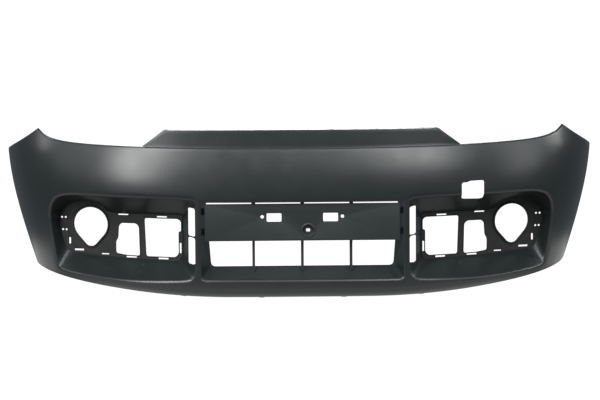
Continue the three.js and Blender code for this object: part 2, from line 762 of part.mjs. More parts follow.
// Round lamp hole drawn out downwards into a smaller lobe.
function lampOutline(grow) {
  const upper = LAMP_RADIUS + grow;
  const lower = LAMP_LOBE_RADIUS + grow;
  const lean = Math.asin((upper - lower) / (LAMP_Z - LAMP_LOBE_Z));
  const shape = new THREE.Shape();
  shape.absarc(LAMP_X, LAMP_Z, upper, -lean, Math.PI + lean);
  shape.absarc(LAMP_X, LAMP_LOBE_Z, lower, Math.PI + lean, 2 * Math.PI - lean);
  return shape;
}

const SMALL_OPENING = [
  [440, 185], [432, 177], [430, 99], [464, 100], [493, 104.5], [493, 136], [487, 146], [485, 178], [478, 185],
];
const LARGE_OPENING = [
  [416, 200], [327, 200], [319.5, 194], [319.5, 168], [326, 166], [326, 108], [334, 98.5], [412, 98.5],
];
const CLIP_WINDOWS = [
  [460, 206.4, 486.5, 209.6], [357, 202.8, 383, 206.4], [581, 107.6, 605.5, 112.2], [513, 99.4, 532.5, 102.4],
  [438.5, 93.2, 465.5, 97.2], [353.5, 91.5, 379.5, 96.6], [616, 125, 620.5, 142], [318.6, 109.5, 323, 136.5],
];
const PIN_HOLES = [[639.5, 196], [629.5, 196], [637, 163], [627.5, 163]];

function carrierPlate() {
  const points = widened(sampled(RECESS_BACK), CARRIER_BORDER);
  return solid(onCarrierPlane(prism(new THREE.Shape(points), GAP, GAP + WALL)));
}

// Low wall that stands forward around the lamp hole.
function lampCollar() {
  const ring = lampOutline(3.5);
  ring.holes.push(new THREE.Path(lampOutline(0).getPoints(14).slice(0, -1)));
  return solid(onCarrierPlane(prism(ring, -5, GAP + 1, 14)));
}

function carrierCuts() {
  const back = GAP + WALL + 6;
  const lamp = solid(onCarrierPlane(prism(lampOutline(0), -8, back, 14)));
  const cuts = [lamp];
  for (const points of [SMALL_OPENING, LARGE_OPENING]) {
    cuts.push(solid(onCarrierPlane(prism(outline(points), -8, back))));
  }
  for (const [x0, z0, x1, z1] of CLIP_WINDOWS) {
    cuts.push(solid(onCarrierPlane(prism(roundedRectangle(x0, z0, x1, z1, 1), -8, back, 2))));
  }
  for (const [x, z] of PIN_HOLES) {
    cuts.push(rod(2.6, 20, ALONG_Y, new THREE.Vector3(x, carrierPlane(x), z), 12));
  }
  for (const [x, z] of CARRIER_SCREWS) {
    cuts.push(rod(SCREW_RADIUS + 0.5, 20, ALONG_Y, new THREE.Vector3(x, carrierPlane(x), z), 12));
  }
  return joined(cuts);
}

// Stiffening web behind the plate between the two square openings.
function carrierWeb() {
  const shape = roundedRectangle(420.5, 92, 423.5, 208, 1);
  return solid(onCarrierPlane(prism(shape, GAP + 1, GAP + WALL + 9, 2)));
}

function fogCarrier() {
  return carrierPlate().add(lampCollar()).add(carrierWeb()).subtract(carrierCuts());
}

// ---------------------------------------------------------------- screws and spring nuts

const SCREW_RADIUS = 1.6;
const SCREW_HEAD_RADIUS = 4;

// Pan-head screw driven forwards. seat is the face that its head rests on.
function screw(x, seat, z, length) {
  const profile = [
    [0, -length], [SCREW_RADIUS, -length + 4], [SCREW_RADIUS, 0], [SCREW_HEAD_RADIUS, 0],
    [SCREW_HEAD_RADIUS, 1.2], [1.6, 2.6], [1.2, 1.2], [0, 1.2],
  ].map(([radius, y]) => new THREE.Vector2(radius, y));
  const geometry = new THREE.LatheGeometry(profile, ROUND_SIDES);
  geometry.translate(x, seat, z);
  return facingOut(mergeVertices(bareCopy(geometry), 1e-4));
}

// Sheet-steel U-nut, drawn with its hole at the origin: it slides on to an edge from +X, and its legs
// lie above and below a flange that is one wall thick and centred on z = 0.
const NUT_SHEET = 1;
const NUT_WIDTH = 14;
const NUT_REACH = 7;
const NUT_CLEARANCE = 0.4;

function uNut(bend) {
  const near = WALL / 2 + NUT_CLEARANCE;
  const far = near + NUT_SHEET;
  const end = bend + 1.2;
  const shape = new THREE.Shape();
  shape.moveTo(-NUT_REACH, near);
  shape.lineTo(end - near, near);
  shape.absarc(end - near, 0, near, Math.PI / 2, -Math.PI / 2, true);
  shape.lineTo(-NUT_REACH, -near);
  shape.lineTo(-NUT_REACH - 2, -near - 1.2);
  shape.lineTo(-NUT_REACH - 2, -far - 1.2);
  shape.lineTo(-NUT_REACH, -far);
  shape.lineTo(end - near, -far);
  shape.absarc(end - near, 0, far, -Math.PI / 2, Math.PI / 2, false);
  shape.lineTo(-NUT_REACH - 2, far);
  shape.lineTo(-NUT_REACH - 2, near);
  const geometry = prism(shape, -NUT_WIDTH / 2, NUT_WIDTH / 2, 3);
  const collar = rod(4, 3, ALONG_Z, new THREE.Vector3(0, 0, far + 1));
  const hole = rod(2.5, 20, ALONG_Z, new THREE.Vector3(0, 0, 0));
  return geometryOf(solid(geometry).add(collar).subtract(hole));
}

// ---------------------------------------------------------------- assembly

const primer = () => new THREE.MeshStandardMaterial({ color: 0x30393b, roughness: 0.42, metalness: 0 });
const grained = () => new THREE.MeshStandardMaterial({ color: 0x34363a, roughness: 0.75, metalness: 0 });
const steel = () => new THREE.MeshStandardMaterial({ color: 0x8d8f92, roughness: 0.35, metalness: 1 });

const cover = new THREE.Group();
cover.position.set(0, -stripMiddle(0), -FLANGE_TOP);

function place(name, geometry, material) {
  const mesh = new THREE.Mesh(geometry, material);
  mesh.name = name;
  cover.add(mesh);
  return mesh;
}

const sides = [['right', (geometry) => geometry], ['left', mirrored]];

place('bumper_skin', geometryOf(bumperSkin()), primer());
place('plate_panel', geometryOf(platePanel()), primer());

const carrier = geometryOf(fogCarrier());
for (const [side, handed] of sides) {
  place(`fog_carrier_${side}`, handed(carrier), grained());
  CARRIER_SCREWS.forEach(([x, z], i) => {
    const seat = carrierPlane(x) + CARRIER_SLOPE * SCREW_HEAD_RADIUS + 2 * GAP + WALL;
    place(`carrier_screw_${side}_${['upper', 'lower'][i]}`, handed(screw(x, seat, z, 15)), steel());
  });
  PANEL_SCREW_HEIGHTS.forEach((z, i) => {
    const seat = LUG_FRONT + WALL + GAP;
    const geometry = handed(screw(PANEL_SCREW_X, seat, z, 11));
    place(`plate_panel_screw_${side}_${['lower', 'upper'][i]}`, geometry, steel());
  });
}

// The nuts on the arch flange slide on from inside the car, so their bend points at the centre line.
function archNut(degrees) {
  const radial = archRadial(degrees);
  const towardsCentre = new THREE.Vector3(-1, 0, 0);
  const across = radial.clone().cross(towardsCentre);
  const middle = archPoint(degrees, ARCH_RADIUS + WALL / 2, ARCH_NUT_INSET);
  const geometry = uNut(ARCH_FLANGE + WALL / 2 - ARCH_NUT_INSET + 3);
  geometry.applyMatrix4(new THREE.Matrix4().makeBasis(towardsCentre, across, radial).setPosition(middle));
  return geometry;
}

for (const [side, handed] of sides) {
  ARCH_NUT_ANGLES.forEach((degrees, i) => {
    place(`arch_nut_${side}_${i + 1}`, handed(archNut(degrees)), steel());
  });
}

// The undertray nuts slide on from behind and follow the slope of the lower edge.
function undertrayNut(u) {
  const geometry = uNut(LOWER_RETURN - UNDERTRAY_INSET + 1);
  const along = lowerReturn(u + 0.01).sub(lowerReturn(u - 0.01)).normalize();
  const backwards = inward(u, 1);
  const upwards = backwards.clone().cross(along).negate().normalize();
  const across = upwards.clone().cross(backwards);
  const basis = new THREE.Matrix4().makeBasis(backwards, across, upwards);
  geometry.applyMatrix4(basis.setPosition(lowerReturn(u)));
  return geometry;
}

UNDERTRAY_NUTS.forEach((u, i) => {
  place(`undertray_nut_${i + 1}`, undertrayNut(u), steel());
});

export default cover;
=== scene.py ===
# Front bumper cover of a small car in grey-black primer, on a white studio floor.
# Shapes are drawn in millimetres, with y = 0 at the nose, z = 0 at the lowest edge of the lip, +X to
# the right seen from the front and the front facing -Y. place() turns a drawn point into metres in
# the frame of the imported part. Every CAD node is stood for by a finer piece that is made here.

import bisect
import math

import bmesh
import bpy
import numpy as np
from mathutils import Matrix, Vector
from mathutils.geometry import delaunay_2d_cdt
from mathutils.kdtree import KDTree

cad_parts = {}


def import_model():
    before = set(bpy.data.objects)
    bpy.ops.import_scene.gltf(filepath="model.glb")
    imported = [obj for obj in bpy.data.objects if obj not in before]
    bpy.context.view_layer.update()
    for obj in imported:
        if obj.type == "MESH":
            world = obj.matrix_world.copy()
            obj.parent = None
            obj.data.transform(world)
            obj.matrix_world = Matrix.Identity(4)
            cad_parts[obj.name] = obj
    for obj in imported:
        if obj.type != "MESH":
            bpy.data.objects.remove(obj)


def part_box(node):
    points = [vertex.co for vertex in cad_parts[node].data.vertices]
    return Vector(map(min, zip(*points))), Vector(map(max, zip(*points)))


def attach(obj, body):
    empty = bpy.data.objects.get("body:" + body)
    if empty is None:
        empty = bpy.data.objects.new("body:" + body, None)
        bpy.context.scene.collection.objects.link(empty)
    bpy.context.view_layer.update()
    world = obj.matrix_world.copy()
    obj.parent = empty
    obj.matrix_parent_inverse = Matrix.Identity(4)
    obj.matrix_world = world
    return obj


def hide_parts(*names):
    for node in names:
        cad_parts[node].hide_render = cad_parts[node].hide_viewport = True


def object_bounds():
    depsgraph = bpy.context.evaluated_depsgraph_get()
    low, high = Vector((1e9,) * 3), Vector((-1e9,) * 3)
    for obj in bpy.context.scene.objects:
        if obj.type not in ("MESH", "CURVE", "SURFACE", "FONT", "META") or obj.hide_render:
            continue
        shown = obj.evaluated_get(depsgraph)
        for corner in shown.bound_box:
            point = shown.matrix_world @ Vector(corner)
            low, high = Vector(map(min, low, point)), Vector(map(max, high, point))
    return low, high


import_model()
cad_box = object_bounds()
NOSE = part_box("bumper_skin")[0]
MM = 0.001


def place(point):
    return Vector((point.x * MM, NOSE.y + point.y * MM, NOSE.z + point.z * MM))


# ---- dimensions of the moulding

HALF_WIDTH = 800
PLAN_DEPTH = 520
PLAN_POWER = 3
WALL = 3
GAP = 0.3

TOP_HEIGHT = 390
SHOULDER_RISE = 18
HORN_X = 702
HORN_RISE = 27
HORN_FADE = 38
WING_DROP = 88
WING_FADE = 170
LIP_ROLL_HEIGHT = 24
LIP_FADE_START = 520
LIP_FADE_END = 770
LEDGE_DEPTH = 20
LEDGE_END_DEPTH = 7
LEDGE_RISE = -1
FOOT_DEPTH = LEDGE_DEPTH - WALL - 1  # from the crease back to the foot of the flange
LOWER_RETURN = 32
SHOULDER_POWER = 2.1
TUCK_SHARE, TUCK_TOP, TUCK_HEIGHT, TUCK_POWER = 0.0848, 386, 308, 1.5
LEAN_DEPTH, LEAN_START, LEAN_HEIGHT, LEAN_POWER = 27, 264, 126, 1.9
LIP_RISE, LIP_RISE_START = 60, 210
LIP_ROLL_DEPTH = 22
EDGE_ROLL = 4  # rounding of the upper edge
THIN_ROLL = 2.5  # rounding of the lip and of the wheel-arch edge

FLANGE_TOP = 438
FLANGE_FOOT_X = 420
FLANGE_HEAD_X = 362
FLANGE_LEAN = 6
FLANGE_RETURN = 29
FLANGE_HOLES = (-320, -200, -80, 80, 200, 320)

ARCH_CENTRE_Y = 700
ARCH_CENTRE_Z = 75
ARCH_RADIUS = 360
ARCH_FLANGE = 24
ARCH_NUT_ANGLES = (8, 26, 44)
ARCH_NUT_INSET = 17
UNDERTRAY_NUTS = (-0.32, -0.11, 0.11, 0.32)  # shares of the plan curve's length
UNDERTRAY_INSET = 22
FLANGE_HOLE_RADIUS = 4.25
NUT_HOLE_RADIUS = 3.2

INTAKE_HALF_WIDTH = 266
INTAKE_TOP = 251
INTAKE_BOTTOM = 46
INTAKE_BACK = 62
INTAKE_BACK_BOTTOM = 78
INTAKE_BACK_TAPER = 13.5
INTAKE_BACK_LOWER_TAPER = 26.5
PILLAR_SLOT_X = 290
PILLAR_SLOT_HALF = 9
PILLAR_SLOTS = ((88, 158.5), (161.5, 236))

CARRIER_INNER_X = 316
CARRIER_INNER_Y = 92
CARRIER_SLOPE = 0.366
CARRIER_BORDER = 12
CARRIER_SCREWS = ((470, 217.5), (420, 82))

PANEL_FRONT = 14
PANEL_BOTTOM = 149.5
PANEL_TOP = 247.3
PANEL_HALF_WIDTH = 255.5
PANEL_SCREW_X = 240
PANEL_SCREW_HEIGHTS = (172, 226)
LUG_FRONT = 28
RIB_PLACES = (-128, 0, 128)
RIB_THICKNESS = 7


# ---- skin surface

PLAN_STEPS = 3000


def plan_table():
    """Distance along the plan curve from the centre line, x and y, in one row each."""
    rows = [(0.0, 0.0, 0.0)]
    for i in range(1, PLAN_STEPS + 1):
        angle = math.pi / 2 * i / PLAN_STEPS
        x = HALF_WIDTH * math.sin(angle) ** (2 / PLAN_POWER)
        y = PLAN_DEPTH * (1 - abs(math.cos(angle)) ** (2 / PLAN_POWER))
        rows.append((rows[-1][0] + math.dist(rows[-1][1:], (x, y)), x, y))
    return [list(column) for column in zip(*rows)]


ALONG, ACROSS, DEPTH = plan_table()


def plan(value, known, wanted):
    """Reads the plan table: value is in the column known, and the answer is from the column wanted."""
    i = min(max(bisect.bisect_left(known, value), 1), len(known) - 1)
    share = (value - known[i - 1]) / (known[i] - known[i - 1])
    return wanted[i - 1] + share * (wanted[i] - wanted[i - 1])


HORN_ALONG = plan(HORN_X, ACROSS, ALONG)
FLANGE_ALONG = plan(FLANGE_FOOT_X, ACROSS, ALONG)


def tuck(z):
    """How much narrower the cover is at a height than at its shoulder, as a factor."""
    return 1 - TUCK_SHARE * max(0, (TUCK_TOP - z) / TUCK_HEIGHT) ** TUCK_POWER


def lean(z):
    """How far the brow has curved back at a height."""
    return LEAN_DEPTH * max(0, (z - LEAN_START) / LEAN_HEIGHT) ** LEAN_POWER


def lower_edge(across):
    """Height of the lip's lower edge, which rises towards the wheel arch."""
    return LIP_RISE * max(0, (across - LIP_RISE_START) / (HALF_WIDTH - LIP_RISE_START)) ** 2


def lip_roll(across, z):
    """How far the lip has rolled back at a height. The roll fades out along the wing."""
    share = max(0, 1 - (z - lower_edge(across)) / LIP_ROLL_HEIGHT)
    t = max(0, min(1, (across - LIP_FADE_START) / (LIP_FADE_END - LIP_FADE_START)))
    return LIP_ROLL_DEPTH * (1 - t * t * (3 - 2 * t)) * share ** 2


def upper_edge(along):
    """Height of the crease between face and ledge: rising to the horn, then down to the wing tip."""
    beyond = abs(along) - HORN_ALONG
    if beyond > 0:
        horn_top = TOP_HEIGHT + SHOULDER_RISE + HORN_RISE
        return horn_top - WING_DROP * (1 - math.exp(-beyond / WING_FADE))
    shoulder = SHOULDER_RISE * abs(along / HORN_ALONG) ** SHOULDER_POWER
    return TOP_HEIGHT + shoulder + HORN_RISE * math.exp(beyond / HORN_FADE)


def ledge_depth(along):
    """Full over the flange, and narrowing from its end to the horn."""
    share = (abs(along) - FLANGE_ALONG) / (HORN_ALONG - FLANGE_ALONG)
    return LEDGE_DEPTH + (LEDGE_END_DEPTH - LEDGE_DEPTH) * max(0, min(1, share))


def skin_point(along, z):
    across = plan(abs(along), ALONG, ACROSS)
    depth = plan(abs(along), ALONG, DEPTH) + lean(z) + lip_roll(across, z)
    return Vector((math.copysign(across * tuck(z), along), depth, z))


def inward(along, z):
    """Level direction from the face towards the inside of the car."""
    run = skin_point(along + 1, z) - skin_point(along - 1, z)
    return Vector((-run.y, run.x, 0)).normalized()


def on_skin(x, z):
    """Distance along the plan curve of the point of the face that is seen at x, z from the front."""
    return math.copysign(plan(abs(x) / tuck(z), ACROSS, ALONG), x)


def arch_along(degrees, radius):
    """Place on the skin (distance along, z) on a circle round the wheel, seen from the side."""
    angle = math.radians(degrees)
    y = ARCH_CENTRE_Y - radius * math.cos(angle)
    z = ARCH_CENTRE_Z + radius * math.sin(angle)
    across = HALF_WIDTH
    for _ in range(4):
        depth = y - lean(z) - lip_roll(across, z)
        across = plan(depth, DEPTH, ACROSS)
    return plan(depth, DEPTH, ALONG), z


# ---- curves and outlines

def bezier(a, b, c, t):
    return a * (1 - t) ** 2 + b * (2 * t * (1 - t)) + c * t ** 2


def spline(points, t):
    """Point at t, from 0 to 1, on a smooth curve through the points."""
    place_on = t * (len(points) - 1)
    i = min(int(place_on), len(points) - 2)
    s = place_on - i
    p0, p1, p2, p3 = (Vector(points[min(max(k, 0), len(points) - 1)]) for k in (i - 1, i, i + 1, i + 2))
    v0, v1 = (p2 - p0) / 2, (p3 - p1) / 2
    return p1 + v0 * s + (3 * (p2 - p1) - 2 * v0 - v1) * s ** 2 + (2 * (p1 - p2) + v0 + v1) * s ** 3


def trimmed(points, radius):
    """How far along a run, from 0 to 1, the curve gets to a distance from its start."""
    low, high = 0.0, 0.5
    for _ in range(24):
        middle = (low + high) / 2
        near = (spline(points, middle) - Vector(points[0])).length < radius
        low, high = (middle, high) if near else (low, middle)
    return low


CORNER_STEPS = 8


def closed_outline(runs, steps, corners):
    """A closed outline through four runs, with the corner after run i rounded by corners[i]."""
    outline = []
    for i, run in enumerate(runs):
        following = runs[(i + 1) % len(runs)]
        start = trimmed(run, corners[i - 1])
        end = 1 - trimmed(run[::-1], corners[i])
        leaving, arriving = spline(run, end), spline(following, trimmed(following, corners[i]))
        outline += [spline(run, start + (end - start) * k / steps[i]) for k in range(steps[i])]
        outline += [bezier(leaving, Vector(run[-1]), arriving, k / CORNER_STEPS) for k in range(CORNER_STEPS)]
    return outline


def along_outline(values, steps):
    """One value for each point of a closed_outline, even on each run and blended over its corners."""
    spread = []
    for i, value in enumerate(values):
        following = values[(i + 1) % len(values)]
        spread += [value] * steps[i]
        spread += [value + (following - value) * k / CORNER_STEPS for k in range(CORNER_STEPS)]
    return spread


def widened(outline, distances):
    """Moves each point of a closed outline outwards by its own distance."""
    area = sum(a.cross(b) for a, b in zip(outline, outline[1:] + outline[:1]))
    turn = math.copysign(1, area)
    moved = []
    for i, point in enumerate(outline):
        run = (outline[(i + 1) % len(outline)] - outline[i - 1]).normalized()
        moved.append(point + Vector((run.y, -run.x)) * (turn * distances[i]))
    return moved


def rounded(points, radius, steps=5):
    """A closed polygon with its corners rounded as far as its sides allow."""
    outline = []
    for i, point in enumerate(points):
        corner = Vector(point)
        before, after = Vector(points[i - 1]) - corner, Vector(points[(i + 1) % len(points)]) - corner
        reach = min(radius, 0.45 * before.length, 0.45 * after.length)
        a, b = corner + before.normalized() * reach, corner + after.normalized() * reach
        outline += [bezier(a, corner, b, k / steps) for k in range(steps + 1)]
    return outline


def box_outline(x0, z0, x1, z1, radius):
    return rounded([(x0, z0), (x1, z0), (x1, z1), (x0, z1)], radius)


def circle(x, z, radius, sides=28):
    turns = [2 * math.pi * i / sides for i in range(sides)]
    return [Vector((x + radius * math.cos(a), z + radius * math.sin(a))) for a in turns]


# ---- recesses and intake

# Edges of a side recess on the right-hand side, at the face and at the lamp carrier, as four runs:
# top, outer side, bottom and inner side.
RECESS_STEPS = (60, 30, 60, 26)
RECESS_FRONT = (
    ((280, 259), (340, 263.5), (446, 266), (564, 266.5), (618, 265), (650, 255), (665, 234)),
    ((665, 234), (668, 205), (662, 150), (655, 89), (648, 64)),
    ((648, 64), (625, 56), (526, 48), (447, 44), (369, 44), (308, 46), (289, 54), (280, 72)),
    ((280, 72), (280, 165), (280, 259)),
)
RECESS_BACK = (
    ((316, 211), (400, 211), (505, 212), (532, 232), (566, 240), (608, 237), (640, 216)),
    ((640, 216), (646, 196), (643, 165), (632, 128), (624, 107)),
    ((624, 107), (600, 103), (560, 98), (465, 92), (381, 90), (338, 88), (322, 91), (316, 101)),
    ((316, 101), (316, 156), (316, 211)),
)
RECESS_CORNERS = (10, 5, 15, 8)
RECESS_RIMS = (10, 10, 7, 4.5)  # rounding of the edge between the face and the walls

INTAKE_STEPS = (70, 30, 70, 30)
INTAKE_CORNERS = (2, 12, 12, 2)
INTAKE_RIMS = (8, 4, 5.5, 4)
RIM_ROWS, WALL_ROWS = 6, 9  # rows of points round the rim and down the walls


def intake_runs(upper_half, lower_half, bottom):
    a, b = (-upper_half, INTAKE_TOP), (upper_half, INTAKE_TOP)
    c, d = (lower_half, bottom), (-lower_half, bottom)
    return (a, b), (b, c), (c, d), (d, a)


def carrier_plane(x):
    return CARRIER_INNER_Y + CARRIER_SLOPE * (abs(x) - CARRIER_INNER_X)


def mouth(front, back, back_depth, rims):
    """The edge of an opening on the face as (along, z) points, and the rows of points behind it."""
    edge = [skin_point(on_skin(p.x, p.y), p.y) for p in front]
    floor = [Vector((p.x, back_depth(p.x), p.y)) for p in back]
    start = [(on_skin(p.x, p.y), p.y) for p in widened(front, rims)]
    rolled = [a + (b - a).normalized() * rim for a, b, rim in zip(edge, floor, rims)]
    rows = []
    for k in range(1, RIM_ROWS + 1):
        rows.append([bezier(skin_point(*s), e, r, k / RIM_ROWS) for s, e, r in zip(start, edge, rolled)])
    for k in range(1, WALL_ROWS + 1):
        rows.append([r.lerp(f, k / WALL_ROWS) for r, f in zip(rolled, floor)])
    return start, rows


def recess(side):
    front = closed_outline(RECESS_FRONT, RECESS_STEPS, RECESS_CORNERS)
    back = closed_outline(RECESS_BACK, RECESS_STEPS, RECESS_CORNERS)
    for point in front + back:
        point.x *= side
    return mouth(front, back, carrier_plane, along_outline(RECESS_RIMS, RECESS_STEPS))


def intake():
    half = INTAKE_HALF_WIDTH
    at_face = intake_runs(half, half, INTAKE_BOTTOM)
    at_back = intake_runs(half - INTAKE_BACK_TAPER, half - INTAKE_BACK_LOWER_TAPER, INTAKE_BACK_BOTTOM)
    front, back = (closed_outline(runs, INTAKE_STEPS, INTAKE_CORNERS) for runs in (at_face, at_back))
    return mouth(front, back, lambda x: INTAKE_BACK, along_outline(INTAKE_RIMS, INTAKE_STEPS))


# ---- sheets

class Sheet:
    """An open surface whose parts share the points along their common edges."""

    def __init__(self):
        self.points = []
        self.faces = []

    def add(self, points):
        start = len(self.points)
        self.points.extend(points)
        return list(range(start, len(self.points)))

    def rows(self, first, later, closed=False):
        """Joins a row of this sheet's points to later rows of new points, and returns the last."""
        for points in later:
            row = self.add(points)
            for i in range(len(row) if closed else len(row) - 1):
                j = (i + 1) % len(row)
                self.faces.append((first[i], first[j], row[j], row[i]))
            first = row
        return first

    def mesh(self, name):
        bm = bmesh.new()
        vertices = [bm.verts.new(place(p)) for p in self.points]
        for face in self.faces:
            bm.faces.new([vertices[i] for i in face])
        bmesh.ops.delete(bm, geom=[v for v in vertices if not v.link_faces], context="VERTS")
        bmesh.ops.recalc_face_normals(bm, faces=bm.faces)
        front = min(bm.faces, key=lambda f: f.calc_center_median().y)
        if front.normal.y > 0:
            bmesh.ops.reverse_faces(bm, faces=bm.faces)
        return made_mesh(name, bm)


PITCH = 7  # spacing of the face's points
ARCH_ROWS = 44
FAN = 60  # length of the ledge's end over which its points spread out to meet the wheel arch
FOOT_ROLL = 1.5  # rounding of the flange's foot and head


def arch_edge():
    """Edge of the face along the right wheel arch, from the lip to the top, with its angles."""
    radius = ARCH_RADIUS + THIN_ROLL

    def inside(degrees):
        along, z = arch_along(degrees, radius)
        across = plan(along, ALONG, ACROSS)
        return lower_edge(across) + THIN_ROLL <= z <= upper_edge(along) - EDGE_ROLL

    found = [tick / 20 for tick in range(-5 * 20, 65 * 20) if inside(tick / 20)]
    low, high = found[0], found[-1]
    angles = [low + (high - low) * i / ARCH_ROWS for i in range(ARCH_ROWS + 1)]
    return angles, [arch_along(a, radius) for a in angles]


def spaced(start, end, stops):
    """Evenly spaced places from start to end, with one exactly on each stop."""
    places = []
    marks = [start, *[s for s in stops if start < s < end], end]
    for a, b in zip(marks, marks[1:]):
        count = max(1, round((b - a) / PITCH))
        places += [a + (b - a) * i / count for i in range(count)]
    return places + [end]


def face_grid(reach):
    """Points of the face inside its edges: close together over the lip."""
    points = []
    for along in spaced(-reach, reach, [-HORN_ALONG, HORN_ALONG]):
        low = lower_edge(plan(abs(along), ALONG, ACROSS)) + THIN_ROLL
        high = upper_edge(along) - EDGE_ROLL
        start = low + LIP_ROLL_HEIGHT
        heights = [low + 3 * i for i in range(1, 8)]
        count = round((high - start) / PITCH)
        heights += [start + (high - start) * i / count for i in range(count)]
        points += [(along, z) for z in heights]
    return points


def enclosed(points, corners, edges):
    """Whether each point lies inside the closed loops that the edges make, and outside their holes."""
    x, z = np.array(points).T
    inside = np.zeros(len(x), bool)
    for i, j in edges:
        (x0, z0), (x1, z1) = corners[i], corners[j]
        if z0 != z1:
            inside ^= ((z0 > z) != (z1 > z)) & (x < x0 + (z - z0) * (x1 - x0) / (z1 - z0))
    return inside


def filled(loops, extra=()):
    """Triangles between an outer loop and its holes. Returns the points, which loop point each source
    is, and the triangles."""
    coordinates, edges = [], []
    for loop in loops:
        first = len(coordinates)
        coordinates += [Vector(p) for p in loop]
        edges += [(first + i, first + (i + 1) % len(loop)) for i in range(len(loop))]
    count = len(coordinates)
    coordinates += [Vector(p) for p in extra]
    made, _, triangles, sources, _, _ = delaunay_2d_cdt(coordinates, edges, [], 0, 1e-5, True)
    kept = enclosed([sum((made[i] for i in t), Vector((0, 0))) / 3 for t in triangles], coordinates, edges)
    found = {source: i for i, ids in enumerate(sources) for source in ids if source < count}
    return made, [found[i] for i in range(count)], [t for t, keep in zip(triangles, kept) if keep]


def face(sheet, loops):
    """Fills the face between its outer edge and the openings. Returns each loop's points."""
    tree = KDTree(sum(len(loop) for loop in loops))
    for i, (along, z) in enumerate(p for loop in loops for p in loop):
        tree.insert((along, z, 0), i)
    tree.balance()
    reach = max(along for along, z in loops[0])
    extra = [p for p in face_grid(reach) if tree.find((*p, 0))[2] > 0.55 * PITCH]
    made, found, triangles = filled(loops, extra)
    indexes = sheet.add([skin_point(p.x, p.y) for p in made])
    sheet.faces += [tuple(indexes[i] for i in t) for t in triangles]
    rows, first = [], 0
    for loop in loops:
        rows.append([indexes[i] for i in found[first:first + len(loop)]])
        first += len(loop)
    return rows


def rolled_rows(start, corner, end, steps=4):
    return [[bezier(a, b, c, k / steps) for a, b, c in zip(start, corner, end)] for k in range(1, steps + 1)]


def straight_rows(start, end, steps):
    return [[a.lerp(b, k / steps) for a, b in zip(start, end)] for k in range(1, steps + 1)]


def crease_end():
    """Distance along the skin at which the wheel arch cuts the crease."""
    low, high = HORN_ALONG, ALONG[-1]
    for _ in range(30):
        middle = (low + high) / 2
        p = skin_point(middle, upper_edge(middle))
        outside = math.hypot(p.y - ARCH_CENTRE_Y, p.z - ARCH_CENTRE_Z) > ARCH_RADIUS
        low, high = (middle, high) if outside else (low, middle)
    return low


def ledge_and_flange(sheet, top, places):
    """The ledge behind the upper edge, and the flange with its fixing strip over the middle."""
    start = [sheet.points[i] for i in top]
    reach = places[-1]
    extra = crease_end() - reach
    places = [a + math.copysign(extra, a) * max(0, (abs(a) - reach + FAN) / FAN) ** 2 for a in places]
    corner = [skin_point(a, upper_edge(a)) for a in places]
    back = [inward(a, upper_edge(a)) for a in places]
    rise = Vector((0, 0, LEDGE_RISE / LEDGE_DEPTH))
    rolled = [c + (b + rise) * EDGE_ROLL for c, b in zip(corner, back)]
    depths = [FOOT_DEPTH if abs(a) <= FLANGE_ALONG + 0.01 else ledge_depth(a) for a in places]
    ends = [c + (b + rise) * (d - FOOT_ROLL) for c, b, d in zip(corner, back, depths)]
    last = sheet.rows(top, rolled_rows(start, corner, rolled) + straight_rows(rolled, ends, 4))
    chosen = [i for i, a in enumerate(places) if abs(a) <= FLANGE_ALONG + 0.01]
    row = [last[i] for i in chosen]
    shares = []
    for i in chosen:
        across = plan(abs(places[i]), ALONG, ACROSS)
        shares.append(max(0.0, min(1.0, (FLANGE_FOOT_X - across) / (FLANGE_FOOT_X - FLANGE_HEAD_X))))
    feet = [corner[i] + (back[i] + rise) * depths[i] for i in chosen]
    heads, strip_ends = [], []
    for foot, share in zip(feet, shares):
        height = 2 + (FLANGE_TOP - foot.z - 2) * share
        heads.append(foot + Vector((0, FLANGE_LEAN * share, height)))
        strip_ends.append(heads[-1] + Vector((0, 5 + (FLANGE_RETURN - 5) * share, 0)))
    above = [f + (h - f).normalized() * FOOT_ROLL for f, h in zip(feet, heads)]
    below = [h + (f - h).normalized() * FOOT_ROLL for f, h in zip(feet, heads)]
    behind = [h + (s - h).normalized() * FOOT_ROLL for h, s in zip(heads, strip_ends)]
    near = [sheet.points[i] for i in row]
    sheet.rows(row, rolled_rows(near, feet, above, 3) + straight_rows(above, below, 6)
               + rolled_rows(below, heads, behind, 3) + straight_rows(behind, strip_ends, 4))


def lower_return(sheet, bottom, places):
    """The flange turned inwards behind the lip."""
    start = [sheet.points[i] for i in bottom]
    heights = [lower_edge(plan(abs(a), ALONG, ACROSS)) for a in places]
    corner = [skin_point(a, z) for a, z in zip(places, heights)]
    back = [inward(a, z + 1) for a, z in zip(places, heights)]
    rolled = [c + b * THIN_ROLL for c, b in zip(corner, back)]
    end = [c + b * LOWER_RETURN for c, b in zip(corner, back)]
    sheet.rows(bottom, rolled_rows(start, corner, rolled) + straight_rows(rolled, end, 5))


def arch_return(sheet, row, angles, side):
    """The flange turned inwards along a wheel-arch edge."""
    start = [sheet.points[i] for i in row]
    corner = []
    for degrees in angles:
        along, z = arch_along(degrees, ARCH_RADIUS)
        corner.append(skin_point(side * along, z))
    rolled = [c - Vector((side * THIN_ROLL, 0, 0)) for c in corner]
    end = [c - Vector((side * ARCH_FLANGE, 0, 0)) for c in corner]
    sheet.rows(row, rolled_rows(start, corner, rolled) + straight_rows(rolled, end, 4))


